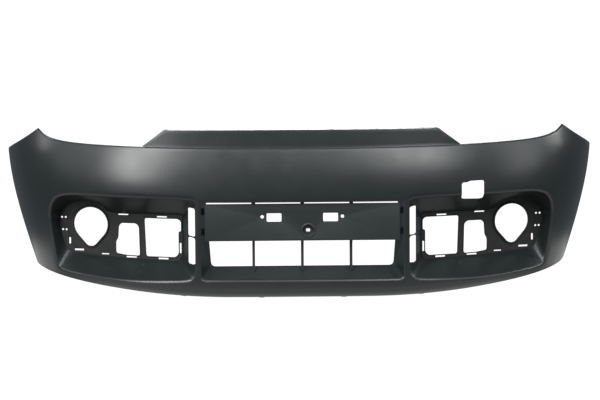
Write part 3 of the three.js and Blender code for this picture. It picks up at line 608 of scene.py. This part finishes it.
def skin_sheet():
    sheet = Sheet()
    angles, arch = arch_edge()
    bottom_places = spaced(-arch[0][0], arch[0][0], [])
    stops = [-HORN_ALONG, -FLANGE_ALONG, FLANGE_ALONG, HORN_ALONG]
    top_places = spaced(-arch[-1][0], arch[-1][0], stops)
    bottom = [(a, lower_edge(plan(abs(a), ALONG, ACROSS)) + THIN_ROLL) for a in bottom_places]
    top = [(a, upper_edge(a) - EDGE_ROLL) for a in top_places]
    bottom[0], bottom[-1] = (-arch[0][0], arch[0][1]), arch[0]
    top[0], top[-1] = (-arch[-1][0], arch[-1][1]), arch[-1]
    left = [(-a, z) for a, z in arch]
    outer = bottom + arch[1:-1] + top[::-1] + left[1:-1][::-1]
    openings = [recess(1), recess(-1), intake()]
    rows = face(sheet, [outer, *[start for start, _ in openings]])
    for row, (_, later) in zip(rows[1:], openings):
        sheet.rows(row, later, closed=True)
    edge = rows[0]
    turns = [len(bottom), len(arch) - 2, len(top)]
    low, right, high = edge[:turns[0]], edge[turns[0]:sum(turns[:2])], edge[sum(turns[:2]):sum(turns)]
    lefts = edge[sum(turns):]
    lower_return(sheet, low, bottom_places)
    ledge_and_flange(sheet, high[::-1], top_places)
    arch_return(sheet, [low[-1], *right, high[0]], angles, 1)
    arch_return(sheet, [low[0], *lefts[::-1], high[-1]], angles, -1)
    return sheet


# ---- plates, prisms and turned shapes

def made_mesh(name, bm):
    mesh = bpy.data.meshes.new(name)
    bm.to_mesh(mesh)
    bm.free()
    return mesh


def new_object(name, data):
    piece = bpy.data.objects.new(name, data)
    bpy.context.scene.collection.objects.link(piece)
    return piece


def baked(piece):
    """Replaces a mesh with modifiers by the mesh that it makes."""
    graph = bpy.context.evaluated_depsgraph_get()
    mesh = bpy.data.meshes.new_from_object(piece.evaluated_get(graph))
    name = piece.name
    bpy.data.objects.remove(piece)
    return new_object(name, mesh)


def plate(outline, front, back, holes=(), bevel=0.6, depth=lambda x: 0):
    """A flat plate seen from the front, with rounded edges. depth(x) slides it back."""
    loops = [[Vector(p) for p in loop] for loop in (outline, *holes)]
    levels = [(front, 0), (back, 0)]
    if bevel:
        turns = [math.pi / 2 * k / 3 for k in range(4)]
        levels = [(front + bevel * (1 - math.cos(a)), bevel * (1 - math.sin(a))) for a in turns]
        levels += [(front + back - y, inset) for y, inset in levels[::-1]]
    bm = bmesh.new()
    rings = []
    for y, inset in levels:
        ring = []
        for k, loop in enumerate(loops):
            moved = widened(loop, [inset if k else -inset] * len(loop))
            ring.append([bm.verts.new(place(Vector((p.x, y + depth(p.x), p.y)))) for p in moved])
        rings.append(ring)
    for near, far in zip(rings, rings[1:]):
        for a, b in zip(near, far):
            for i in range(len(a)):
                j = (i + 1) % len(a)
                bm.faces.new((a[i], a[j], b[j], b[i]))
    flat = [widened(loop, [levels[0][1] if k else -levels[0][1]] * len(loop)) for k, loop in enumerate(loops)]
    _, found, triangles = filled(flat)
    number = {made: i for i, made in enumerate(found)}
    for ring in (rings[0], rings[-1]):
        corners = [vertex for loop in ring for vertex in loop]
        for triangle in triangles:
            bm.faces.new([corners[number[i]] for i in triangle])
    bmesh.ops.recalc_face_normals(bm, faces=bm.faces)
    return new_object("plate", made_mesh("plate", bm))


def side_plate(outline, middle, thickness, bevel=0.5):
    """A plate seen from the side: the outline gives (y, z), and it stands at x = middle."""
    piece = plate(outline, middle - thickness / 2, middle + thickness / 2, bevel=bevel)
    for vertex in piece.data.vertices:
        drawn = (vertex.co - place(Vector((0, 0, 0)))) / MM
        vertex.co = place(Vector((drawn.y, drawn.x, drawn.z)))
    piece.data.flip_normals()
    return piece


def turned(profile, origin, axis, sides=32):
    """A turned shape: the profile gives (radius, distance along the axis from the origin)."""
    bm = bmesh.new()
    rings = []
    turn = Vector((0, 0, 1)).rotation_difference(axis).to_matrix()
    for radius, reach in profile:
        if radius == 0:
            rings.append([bm.verts.new(place(origin + turn @ Vector((0, 0, reach))))] * sides)
            continue
        angles = [2 * math.pi * i / sides for i in range(sides)]
        ring = [Vector((radius * math.cos(a), radius * math.sin(a), reach)) for a in angles]
        rings.append([bm.verts.new(place(origin + turn @ p)) for p in ring])
    closed = rings[1:] + (rings[:1] if profile[0][0] > 0 else [])
    for near, far in zip(rings, closed):
        for i in range(sides):
            j = (i + 1) % sides
            corners = list(dict.fromkeys((near[i], near[j], far[j], far[i])))
            if len(corners) > 2:
                bm.faces.new(corners)
    bmesh.ops.recalc_face_normals(bm, faces=bm.faces)
    return new_object("turned", made_mesh("turned", bm))


def rod(radius, near, far, origin, axis):
    return turned([(0, near), (radius, near), (radius, far), (0, far)], origin, axis)


def joined(name, pieces):
    """One object that holds the meshes of several."""
    bm = bmesh.new()
    for piece in pieces:
        bm.from_mesh(piece.data)
        bpy.data.objects.remove(piece)
    return new_object(name, made_mesh(name, bm))


def cut(piece, tool):
    """Cuts a tool out of a piece and removes the tool. Bodies in one tool may not overlap."""
    modifier = piece.modifiers.new("cut", "BOOLEAN")
    modifier.operation = "DIFFERENCE"
    modifier.solver = "EXACT"
    modifier.object = tool
    result = baked(piece)
    bpy.data.objects.remove(tool)
    return result


def shade(piece, degrees=32):
    piece.data.shade_smooth()
    piece.data.set_sharp_from_angle(angle=math.radians(degrees))


def mirror(piece, name):
    """A copy of a piece on the other side of the car."""
    mesh = piece.data.copy()
    mesh.transform(Matrix.Diagonal((-1, 1, 1, 1)))
    mesh.flip_normals()
    return new_object(name, mesh)


# ---- skin

UP, BACK = Vector((0, 0, 1)), Vector((0, 1, 0))


def strip_middle(x):
    """Depth of the middle of the flange's fixing strip."""
    crease = plan(abs(x), ACROSS, DEPTH) + lean(upper_edge(plan(abs(x), ACROSS, ALONG)))
    return crease + FOOT_DEPTH + FLANGE_LEAN + FLANGE_RETURN / 2


def arch_radial(degrees):
    angle = math.radians(degrees)
    return Vector((0, -math.cos(angle), math.sin(angle)))


def arch_hole(degrees):
    """Middle of a hole in the right-hand arch flange, half way through its wall."""
    along, z = arch_along(degrees, ARCH_RADIUS + WALL / 2)
    return skin_point(along, z) - Vector((ARCH_NUT_INSET, 0, 0))


def undertray_hole(share):
    along = share * ALONG[-1]
    z = lower_edge(plan(abs(along), ALONG, ACROSS))
    hole = skin_point(along, z) + inward(along, z + 1) * UNDERTRAY_INSET
    return hole + UP * (WALL / 2)


def tow_outline():
    """Squarish opening for a towing eye, with a small step in its upper edge."""
    points = ((419, 252), (466, 250), (478, 254), (478, 302), (441, 301), (434, 297.5), (419, 297))
    return rounded(points, 6)


def skin_cutters():
    cutters = [plate(tow_outline(), 0, 105, bevel=0)]
    for side in (-1, 1):
        middle = side * PILLAR_SLOT_X
        for low, high in PILLAR_SLOTS:
            outline = box_outline(middle - PILLAR_SLOT_HALF, low, middle + PILLAR_SLOT_HALF, high, 5)
            cutters.append(plate(outline, -10, 75, bevel=0))
    for x in FLANGE_HOLES:
        cutters.append(rod(FLANGE_HOLE_RADIUS, -6, 6, Vector((x, strip_middle(x), FLANGE_TOP)), UP))
    for share in UNDERTRAY_NUTS:
        cutters.append(rod(NUT_HOLE_RADIUS, -8, 8, undertray_hole(share), UP))
    for degrees in ARCH_NUT_ANGLES:
        hole = arch_hole(degrees)
        for side in (-1, 1):
            middle = Vector((side * hole.x, hole.y, hole.z))
            cutters.append(rod(NUT_HOLE_RADIUS, -6, 6, middle, arch_radial(degrees)))
    return joined("cutters", cutters)


def bosses_and_lugs():
    """Screw bosses for the lamp carriers and lugs for the panel, on the back of the skin."""
    added = []
    for side in (-1, 1):
        for x, z in CARRIER_SCREWS:
            origin = Vector((side * x, carrier_plane(x) - 2, z))
            added.append(turned([(2, -14), (2, 0), (4.5, 0), (5, -0.5), (5, -18), (0, -18), (0, -14)],
                                origin, BACK))
        for z in PANEL_SCREW_HEIGHTS:
            middle, half = side * (PANEL_SCREW_X + 6.7), 14.3
            outline = box_outline(middle - half, z - 9, middle + half, z + 9, 2)
            hole = circle(side * PANEL_SCREW_X, z, 2)
            added.append(plate(outline, LUG_FRONT, LUG_FRONT + WALL, [hole], 0.4))
    return joined("bosses", added)


def bumper_skin(outside, inside):
    piece = new_object("skin_moulding", skin_sheet().mesh("skin_moulding"))
    piece.data.materials.append(outside)
    piece.data.materials.append(inside)
    wall = piece.modifiers.new("wall", "SOLIDIFY")
    wall.thickness = WALL * MM
    wall.offset = -1
    wall.material_offset = 1
    wall.material_offset_rim = 0
    piece = baked(piece)
    piece = cut(piece, skin_cutters())
    piece = joined("skin_moulding", [piece, bosses_and_lugs()])
    piece.data.materials.append(outside)
    piece.data.materials.append(inside)
    shade(piece)
    return piece


# ---- number-plate panel

DISH_X = 15
DISH_Z = 177
WINDOW_INNER_X, WINDOW_WIDTH = 54.5, 39
WINDOW_BOTTOM, WINDOW_TOP = 200, 222
PLATE_HOLE_X, PLATE_HOLE_Z, PLATE_HOLE_RADIUS = 105, 213, 4.5


def panel_windows():
    """The two windows of the panel and its two number-plate holes."""
    windows = [box_outline(x, WINDOW_BOTTOM, x + WINDOW_WIDTH, WINDOW_TOP, 3)
               for x in (WINDOW_INNER_X, -WINDOW_INNER_X - WINDOW_WIDTH)]
    return windows + [circle(x, PLATE_HOLE_Z, PLATE_HOLE_RADIUS) for x in (-PLATE_HOLE_X, PLATE_HOLE_X)]


def dish():
    """Round raised rim and, behind it, the dished floor with a small square hole."""
    ring = [(19.5, 3), (19.5, 0), (18.5, -1.6), (16.8, -2.6), (15.2, -2.2), (13.2, 0.2), (11.8, 4.4),
            (11, 5.2), (11, 7.5), (13.5, 7.5), (15.5, 3)]
    rim = turned(ring, Vector((DISH_X, PANEL_FRONT, DISH_Z)), BACK, 48)
    hole = box_outline(DISH_X - 5, DISH_Z - 3.8, DISH_X + 5, DISH_Z + 3.8, 1.5)
    floor = plate(circle(DISH_X, DISH_Z, 12.2, 48), PANEL_FRONT + 5, PANEL_FRONT + 7.5, [hole], 0.4)
    return [rim, floor]


def rib(x):
    front, back, foot = PANEL_FRONT + WALL - 0.5, INTAKE_BACK - 1, 38
    slope = (INTAKE_BACK_BOTTOM - INTAKE_BOTTOM) / INTAKE_BACK
    outline = ((front, PANEL_TOP - 4), (front, PANEL_BOTTOM + 4), (foot, PANEL_BOTTOM - 14),
               (foot, INTAKE_BOTTOM + slope * foot + 1.4), (back, INTAKE_BOTTOM + slope * back + 1.4),
               (back, PANEL_BOTTOM + 10), (front + 12, PANEL_TOP - 4))
    return side_plate(rounded(outline, 2, 3), x, RIB_THICKNESS)


def top_tab(x):
    outline = box_outline(x - 5.2, PANEL_TOP - 3, x + 5.2, INTAKE_TOP - 0.6, 1)
    return plate(outline, PANEL_FRONT + 0.2, PANEL_FRONT + WALL, bevel=0.4)


def panel_boss(x, z):
    length = LUG_FRONT - GAP - PANEL_FRONT - 2
    profile = [(1.8, length - 9), (1.8, length), (4.1, length), (4.5, length - 0.5), (4.9, 0), (0, 0),
               (0, length - 9)]
    return turned(profile, Vector((x, PANEL_FRONT + 2, z)), BACK)


def plate_panel():
    outline = box_outline(-PANEL_HALF_WIDTH, PANEL_BOTTOM, PANEL_HALF_WIDTH, PANEL_TOP, 2)
    holes = [*panel_windows(), circle(DISH_X, DISH_Z, 18.6, 48)]
    face_plate = plate(outline, PANEL_FRONT, PANEL_FRONT + WALL, holes, 0.8)
    parts = [face_plate, *dish()]
    for x in RIB_PLACES:
        parts += [rib(x), top_tab(x)]
    for side in (-1, 1):
        parts += [panel_boss(side * PANEL_SCREW_X, z) for z in PANEL_SCREW_HEIGHTS]
    piece = joined("number_plate_panel", parts)
    shade(piece, 28)
    return piece


# ---- lamp carriers

LAMP = (561, 180, 45)  # x, z and radius
LOBE = (561, 139, 18)
WEB = (420.5, 92, 423.5, 208)
SMALL_OPENING = ((440, 185), (432, 177), (430, 99), (464, 100), (493, 104.5), (493, 136), (487, 146),
                 (485, 178), (478, 185))
LARGE_OPENING = ((416, 200), (327, 200), (319.5, 194), (319.5, 168), (326, 166), (326, 108), (334, 98.5),
                 (412, 98.5))
CLIP_WINDOWS = (
    (460, 206.4, 486.5, 209.6), (357, 202.8, 383, 206.4), (581, 107.6, 605.5, 112.2),
    (513, 99.4, 532.5, 102.4), (438.5, 93.2, 465.5, 97.2), (353.5, 91.5, 379.5, 96.6),
    (616, 125, 620.5, 142), (318.6, 109.5, 323, 136.5),
)
PIN_HOLES = ((639.5, 196), (629.5, 196), (637, 163), (627.5, 163))


def lamp_outline(grow, steps=26):
    """A circle drawn out downwards into a smaller one."""
    (x, z, upper), (_, lobe_z, lower) = LAMP, LOBE
    upper, lower = upper + grow, lower + grow
    lean_in = math.asin((upper - lower) / (z - lobe_z))
    points = []
    for centre, radius, start, end in ((z, upper, -lean_in, math.pi + lean_in),
                                       (lobe_z, lower, math.pi + lean_in, 2 * math.pi - lean_in)):
        for i in range(steps):
            angle = start + (end - start) * i / (steps - 1)
            points.append(Vector((x + radius * math.cos(angle), centre + radius * math.sin(angle))))
    return points[:-1]


def carrier_openings():
    openings = [rounded(SMALL_OPENING, 6), rounded(LARGE_OPENING, 6), lamp_outline(0)]
    openings += [box_outline(*window, 1) for window in CLIP_WINDOWS]
    openings += [circle(x, z, 2.6, 16) for x, z in PIN_HOLES]
    openings += [circle(x, z, 2.1, 16) for x, z in CARRIER_SCREWS]
    return openings


def bead(outline, width, height):
    """A raised edge round an opening of the carrier."""
    outer = widened(outline, [width] * len(outline))
    return plate(outer, GAP - height, GAP + 1, [outline], 0.5, carrier_plane)


def lamp_carrier():
    """The right-hand carrier: plate, lamp collar, raised edges round two openings and a web."""
    outline = closed_outline(RECESS_BACK, RECESS_STEPS, RECESS_CORNERS)
    outline = widened(outline, [CARRIER_BORDER] * len(outline))
    parts = [plate(outline, GAP, GAP + WALL, carrier_openings(), 0.5, carrier_plane)]
    collar = lamp_outline(0.2)
    parts.append(plate(lamp_outline(3.5), -5, GAP + 1, [collar], 0.7, carrier_plane))
    parts += [bead(rounded(points, 6), 2.5, 1.6) for points in (SMALL_OPENING, LARGE_OPENING)]
    parts.append(plate(box_outline(*WEB, 1), GAP + 1, GAP + WALL + 9, (), 0.5, carrier_plane))
    piece = joined("lamp_carrier_right", parts)
    shade(piece, 28)
    return piece


# ---- screws and spring nuts

def screw(name, x, seat, z, length):
    """Pan-head screw driven forwards, with a cross recess. Its head rests on y = seat."""
    threads = []
    pitch, tip, unthreaded = 1.4, 3.6, 4.2
    for i in range(int((length - unthreaded) / pitch)):
        reach = -length + tip + i * pitch
        threads += [(1.25, reach), (1.6, reach + 0.35), (1.25, reach + 0.7)]
    profile = [(0, -length), (0.5, -length + 1.2), *threads, (1.4, -0.4), (1.4, 0), (4, 0), (4, 0.7),
               (3.6, 1.6), (2.7, 2.3), (1.6, 2.6), (0, 2.6)]
    piece = turned(profile, Vector((x, seat, z)), BACK, 24)
    for wide, tall in ((2.1, 0.45), (0.45, 2.1)):
        slot = box_outline(x - wide, z - tall, x + wide, z + tall, 0.2)
        piece = cut(piece, plate(slot, seat + 1.1, seat + 4, bevel=0))
    piece.name = name
    shade(piece, 28)
    return piece


def spring_nut(name, bend, middle, slide, across, upwards):
    """Sheet-steel U-nut on a flange. Its bend lies a distance beyond the hole, along slide."""
    near, sheet_thickness, width, reach = WALL / 2 + 0.4, 1, 14, 7
    far, end = near + sheet_thickness, bend + 1.2
    turn = [math.pi / 2 - math.pi * i / 10 for i in range(11)]
    centre = end - near
    outside = [(centre + far * math.cos(a), far * math.sin(a)) for a in turn]
    within = [(centre + near * math.cos(a), near * math.sin(a)) for a in turn[::-1]]
    outline = [(-reach - 2, far), *outside, (-reach, -far), (-reach - 2, -far - 1.2),
               (-reach - 2, -near - 1.2), (-reach, -near), *within, (-reach - 2, near)]
    body = plate(outline, -width / 2, width / 2, bevel=0.15)
    collar = turned([(2.5, 0), (2.5, 3.2), (3.3, 3.2), (3.8, 2.4), (4.2, 0)], Vector((0, 0, far)), UP, 24)
    hole = rod(2.5, -6, 8, Vector((0, 0, 0)), UP)
    origin = place(Vector((0, 0, 0)))
    body = cut(body, hole)
    piece = joined(name, [body, collar])
    basis = Matrix((slide, across, upwards)).transposed()
    for vertex in piece.data.vertices:
        drawn = (vertex.co - origin) / MM
        vertex.co = place(middle + basis @ drawn)
    bm = bmesh.new()
    bm.from_mesh(piece.data)
    bmesh.ops.recalc_face_normals(bm, faces=bm.faces)
    bm.to_mesh(piece.data)
    bm.free()
    shade(piece, 28)
    return piece


def arch_nut(name, degrees):
    radial = arch_radial(degrees)
    slide = Vector((-1, 0, 0))
    bend = ARCH_FLANGE + WALL / 2 - ARCH_NUT_INSET + 3
    return spring_nut(name, bend, arch_hole(degrees), slide, radial.cross(slide), radial)


def undertray_nut(name, share):
    step = undertray_hole(share + 0.01) - undertray_hole(share - 0.01)
    slide = inward(share * ALONG[-1], 1)
    upwards = step.normalized().cross(slide).normalized()
    upwards *= math.copysign(1, upwards.z)
    return spring_nut(name, LOWER_RETURN - UNDERTRAY_INSET + 1, undertray_hole(share), slide,
                      upwards.cross(slide), upwards)


# ---- materials

def material(name, colour, roughness, metallic=0.0):
    """A principled material, its node tree and its shader."""
    made = bpy.data.materials.new(name)
    made.use_nodes = True
    shader = made.node_tree.nodes["Principled BSDF"]
    shader.inputs["Base Color"].default_value = (*colour, 1)
    shader.inputs["Roughness"].default_value = roughness
    shader.inputs["Metallic"].default_value = metallic
    return made, made.node_tree, shader


def noise(tree, scale, detail=2.0):
    coordinates = tree.nodes.new("ShaderNodeTexCoord")
    texture = tree.nodes.new("ShaderNodeTexNoise")
    texture.inputs["Scale"].default_value = scale
    texture.inputs["Detail"].default_value = detail
    tree.links.new(coordinates.outputs["Object"], texture.inputs["Vector"])
    return texture.outputs["Fac"]


def ranged(tree, source, low, high, start=0.3, end=0.7):
    """A value that runs from low to high while the source runs from start to end."""
    scaled = tree.nodes.new("ShaderNodeMapRange")
    scaled.inputs["From Min"].default_value = start
    scaled.inputs["From Max"].default_value = end
    scaled.inputs["To Min"].default_value = low
    scaled.inputs["To Max"].default_value = high
    tree.links.new(source, scaled.inputs["Value"])
    return scaled.outputs["Result"]


def blend(tree, factor, first, second):
    mix = tree.nodes.new("ShaderNodeMix")
    mix.data_type = "RGBA"
    mix.inputs["A"].default_value = (*first, 1)
    mix.inputs["B"].default_value = (*second, 1)
    tree.links.new(factor, mix.inputs["Factor"])
    return mix.outputs["Result"]


def bumped(tree, source, shader, strength, distance):
    bump = tree.nodes.new("ShaderNodeBump")
    bump.inputs["Strength"].default_value = strength
    bump.inputs["Distance"].default_value = distance
    tree.links.new(source, bump.inputs["Height"])
    tree.links.new(bump.outputs["Normal"], shader.inputs["Normal"])


def mottled(name, colours, sheen, clouds, patches, metallic=0.0):
    """A material of uneven colour and sheen. Clouds and patches are scales and details of noise."""
    made, tree, shader = material(name, colours[0], sheen[0], metallic)
    tree.links.new(blend(tree, noise(tree, *clouds), *colours), shader.inputs["Base Color"])
    tree.links.new(ranged(tree, noise(tree, *patches), *sheen), shader.inputs["Roughness"])
    return made, tree, shader


def primer(name, *colours, sheen):
    """Satin primer: faint clouds of colour, uneven sheen and a very fine grain."""
    made, tree, shader = mottled(name, colours, sheen, (4, 3), (22, 4))
    bumped(tree, noise(tree, 1500, 1), shader, 0.12, 0.0001)
    shader.inputs["Specular IOR Level"].default_value = 0.5
    return made


def grained(name, *colours, sheen, scale, depth):
    """Raw moulded plastic with a pebbled grain."""
    made, tree, shader = mottled(name, colours, sheen, (30, 4), (60, 3))
    coordinates = tree.nodes.new("ShaderNodeTexCoord")
    cells = tree.nodes.new("ShaderNodeTexVoronoi")
    cells.inputs["Scale"].default_value = scale
    tree.links.new(coordinates.outputs["Object"], cells.inputs["Vector"])
    bumped(tree, cells.outputs["Distance"], shader, 0.5, depth)
    shader.inputs["Specular IOR Level"].default_value = 0.32
    return made


def metal(name, *colours, sheen):
    """Plated or blued steel with small stains and a fine unevenness."""
    made, tree, shader = mottled(name, colours, sheen, (300, 4), (500, 3), 1.0)
    bumped(tree, noise(tree, 2500, 2), shader, 0.2, 0.00005)
    return made


# ---- object

def finish(piece, node, surface=None):
    """Hands a piece to the frame: gives it a finish if one is given, hangs it on the body it moves with and
    hides the CAD part that it stands for.
    """
    if surface:
        piece.data.materials.clear()
        piece.data.materials.append(surface)
    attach(piece, "root")
    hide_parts(node)


def both_sides(piece, node, surface):
    """Hands over a right-hand piece and its mirror image, whose names say left instead of right."""
    other = mirror(piece, piece.name.replace("right", "left"))
    finish(piece, node, surface)
    finish(other, node.replace("right", "left"), surface)


def build():
    paint = primer("satin_primer", (0.010, 0.013, 0.013), (0.012, 0.015, 0.015), sheen=(0.3, 0.35))
    panel_paint = primer("panel_primer", (0.012, 0.016, 0.016), (0.015, 0.019, 0.019), sheen=(0.42, 0.48))
    bare = grained("bare_plastic", (0.010, 0.010, 0.010), (0.015, 0.015, 0.014), sheen=(0.5, 0.62),
                   scale=900, depth=0.0001)
    carrier_plastic = grained("carrier_plastic", (0.012, 0.0133, 0.0125), (0.019, 0.02, 0.0185),
                              sheen=(0.55, 0.7), scale=420, depth=0.0005)
    zinc = metal("zinc_plate", (0.55, 0.54, 0.50), (0.42, 0.42, 0.40), sheen=(0.25, 0.4))
    steel = metal("blued_steel", (0.10, 0.10, 0.11), (0.16, 0.15, 0.14), sheen=(0.3, 0.45))
    finish(bumper_skin(paint, bare), "bumper_skin")
    finish(plate_panel(), "plate_panel", panel_paint)
    both_sides(lamp_carrier(), "fog_carrier_right", carrier_plastic)
    for (x, z), end in zip(CARRIER_SCREWS, ("upper", "lower")):
        seat = carrier_plane(x) + CARRIER_SLOPE * 4 + 2 * GAP + WALL
        one = screw(f"carrier_screw_{end}_on_right", x, seat, z, 15)
        both_sides(one, f"carrier_screw_right_{end}", zinc)
    for z, end in zip(PANEL_SCREW_HEIGHTS, ("lower", "upper")):
        one = screw(f"panel_screw_{end}_on_right", PANEL_SCREW_X, LUG_FRONT + WALL + GAP, z, 11)
        both_sides(one, f"plate_panel_screw_right_{end}", zinc)
    for i, degrees in enumerate(ARCH_NUT_ANGLES, 1):
        one = arch_nut(f"arch_spring_nut_{i}_on_right", degrees)
        both_sides(one, f"arch_nut_right_{i}", steel)
    for i, share in enumerate(UNDERTRAY_NUTS, 1):
        finish(undertray_nut(f"undertray_spring_nut_{i}", share), f"undertray_nut_{i}", steel)


# ---- studio

# Metres. The floor is a white table; past its edges the camera sees the white backdrop.
FLOOR_CENTRE_Y = 0.25
FLOOR_HALF_WIDTH = 1.0
FLOOR_HALF_DEPTH = 0.48
FLOOR_SEEN = 0.99
FLOOR_LIGHT = 0.84
FLOOR_BACK_LIGHT = 0.06
FRONT_FADE = (-0.55, 0.0)  # share of the half depth, from the floor's middle
SIDE_FADE = (0.68, 0.8)  # share of the half width


def combined(tree, operation, first, second):
    """A maths node on a socket and either another socket or a number."""
    made = tree.nodes.new("ShaderNodeMath")
    made.operation = operation
    tree.links.new(first, made.inputs[0])
    if isinstance(second, float):
        made.inputs[1].default_value = second
    else:
        tree.links.new(second, made.inputs[1])
    return made.outputs[0]


def floor_paper():
    """White to the camera. As a light it is bright in front of the object and beside it, and dim behind."""
    made, tree, shader = material("floor_paper", (0.03, 0.03, 0.03), 0.9)
    shader.inputs["Emission Color"].default_value = (0.99, 0.99, 0.98, 1)
    coordinates = tree.nodes.new("ShaderNodeTexCoord")
    split = tree.nodes.new("ShaderNodeSeparateXYZ")
    tree.links.new(coordinates.outputs["Object"], split.inputs[0])
    ray = tree.nodes.new("ShaderNodeLightPath")
    sideways = combined(tree, "ABSOLUTE", split.outputs["X"], 0.0)
    front = ranged(tree, split.outputs["Y"], FLOOR_LIGHT, FLOOR_BACK_LIGHT, *FRONT_FADE)
    beside = ranged(tree, sideways, FLOOR_BACK_LIGHT, FLOOR_LIGHT, *SIDE_FADE)
    seen = combined(tree, "MULTIPLY", ray.outputs["Is Camera Ray"], FLOOR_SEEN)
    glow = combined(tree, "MAXIMUM", front, beside)
    tree.links.new(combined(tree, "MAXIMUM", seen, glow), shader.inputs["Emission Strength"])
    return made


def floor():
    bm = bmesh.new()
    bmesh.ops.create_grid(bm, x_segments=1, y_segments=1, size=1)
    mesh = made_mesh("floor", bm)
    mesh.materials.append(floor_paper())
    piece = new_object("floor", mesh)
    piece.location = (0, FLOOR_CENTRE_Y, cad_box[0].z - 0.0005)
    piece.scale = (FLOOR_HALF_WIDTH, FLOOR_HALF_DEPTH, 1)


def world():
    """White to the camera, and a dim grey room to everything else."""
    made = bpy.data.worlds.new("studio")
    made.use_nodes = True
    bpy.context.scene.world = made
    nodes, links = made.node_tree.nodes, made.node_tree.links
    background = nodes["Background"]
    background.inputs["Color"].default_value = (0.78, 0.9, 1.0, 1)
    background.inputs["Strength"].default_value = 0.2
    white = nodes.new("ShaderNodeBackground")
    white.inputs["Color"].default_value = (1, 1, 1, 1)
    white.inputs["Strength"].default_value = 1.1
    path = nodes.new("ShaderNodeLightPath")
    mix = nodes.new("ShaderNodeMixShader")
    links.new(path.outputs["Is Camera Ray"], mix.inputs[0])
    links.new(background.outputs[0], mix.inputs[1])
    links.new(white.outputs[0], mix.inputs[2])
    links.new(mix.outputs[0], nodes["World Output"].inputs["Surface"])


# Name, azimuth and elevation in degrees, distance, width and height in metres, and power in watts.
SOFT_BOXES = (
    ("upper_left", -37, 34, 3.0, 0.6, 2.8, 112),
    ("upper_right", 23, 42, 3.0, 0.8, 2.2, 62),
    ("left_fill", -70, 24, 3.0, 1.1, 2.0, 9),
    ("right_fill", 66, 24, 3.0, 1.2, 2.0, 22),
    ("overhead", 0, 86, 2.4, 2.6, 0.6, 11),
    ("side_left", -94, 22, 2.6, 0.15, 0.8, 6),
    ("side_right", 94, 22, 2.6, 0.15, 0.8, 10),
    ("behind", 180, 24, 3.2, 1.0, 0.5, 45),
)


def soft_box(name, azimuth, elevation, distance, width, height, power):
    """An area light that faces the middle of the face. Azimuth 0 is straight ahead of it."""
    target = place(Vector((0, 60, 330)))
    a, e = math.radians(azimuth), math.radians(elevation)
    away = Vector((math.sin(a) * math.cos(e), -math.cos(a) * math.cos(e), math.sin(e)))
    data = bpy.data.lights.new(name, "AREA")
    data.shape = "RECTANGLE"
    data.size, data.size_y = width, height
    data.energy = power
    light = new_object(name, data)
    light.location = target + away * distance
    light.rotation_mode = "QUATERNION"
    light.rotation_quaternion = (-away).to_track_quat("-Z", "Y")


def camera():
    """Long lens that looks down on the cover by a few degrees, with a trace of yaw and roll."""
    distance, elevation, yaw, roll = 8.25, math.radians(6), math.radians(0.9), math.radians(-0.4)
    target = place(Vector((-6, 0, 258)))
    ahead = Vector((math.sin(yaw) * math.cos(elevation), math.cos(yaw) * math.cos(elevation),
                    -math.sin(elevation)))
    data = bpy.data.cameras.new("camera")
    data.lens = 189.7
    data.sensor_width = 36
    body = new_object("camera", data)
    body.location = target - ahead * distance
    body.rotation_mode = "QUATERNION"
    facing = ahead.to_track_quat("-Z", "Y")
    body.rotation_quaternion = facing @ Matrix.Rotation(roll, 3, "Z").to_quaternion()
    bpy.context.scene.camera = body


build()
floor()
world()
for box in SOFT_BOXES:
    soft_box(*box)
camera()
bpy.context.scene.view_settings.view_transform = "Standard"
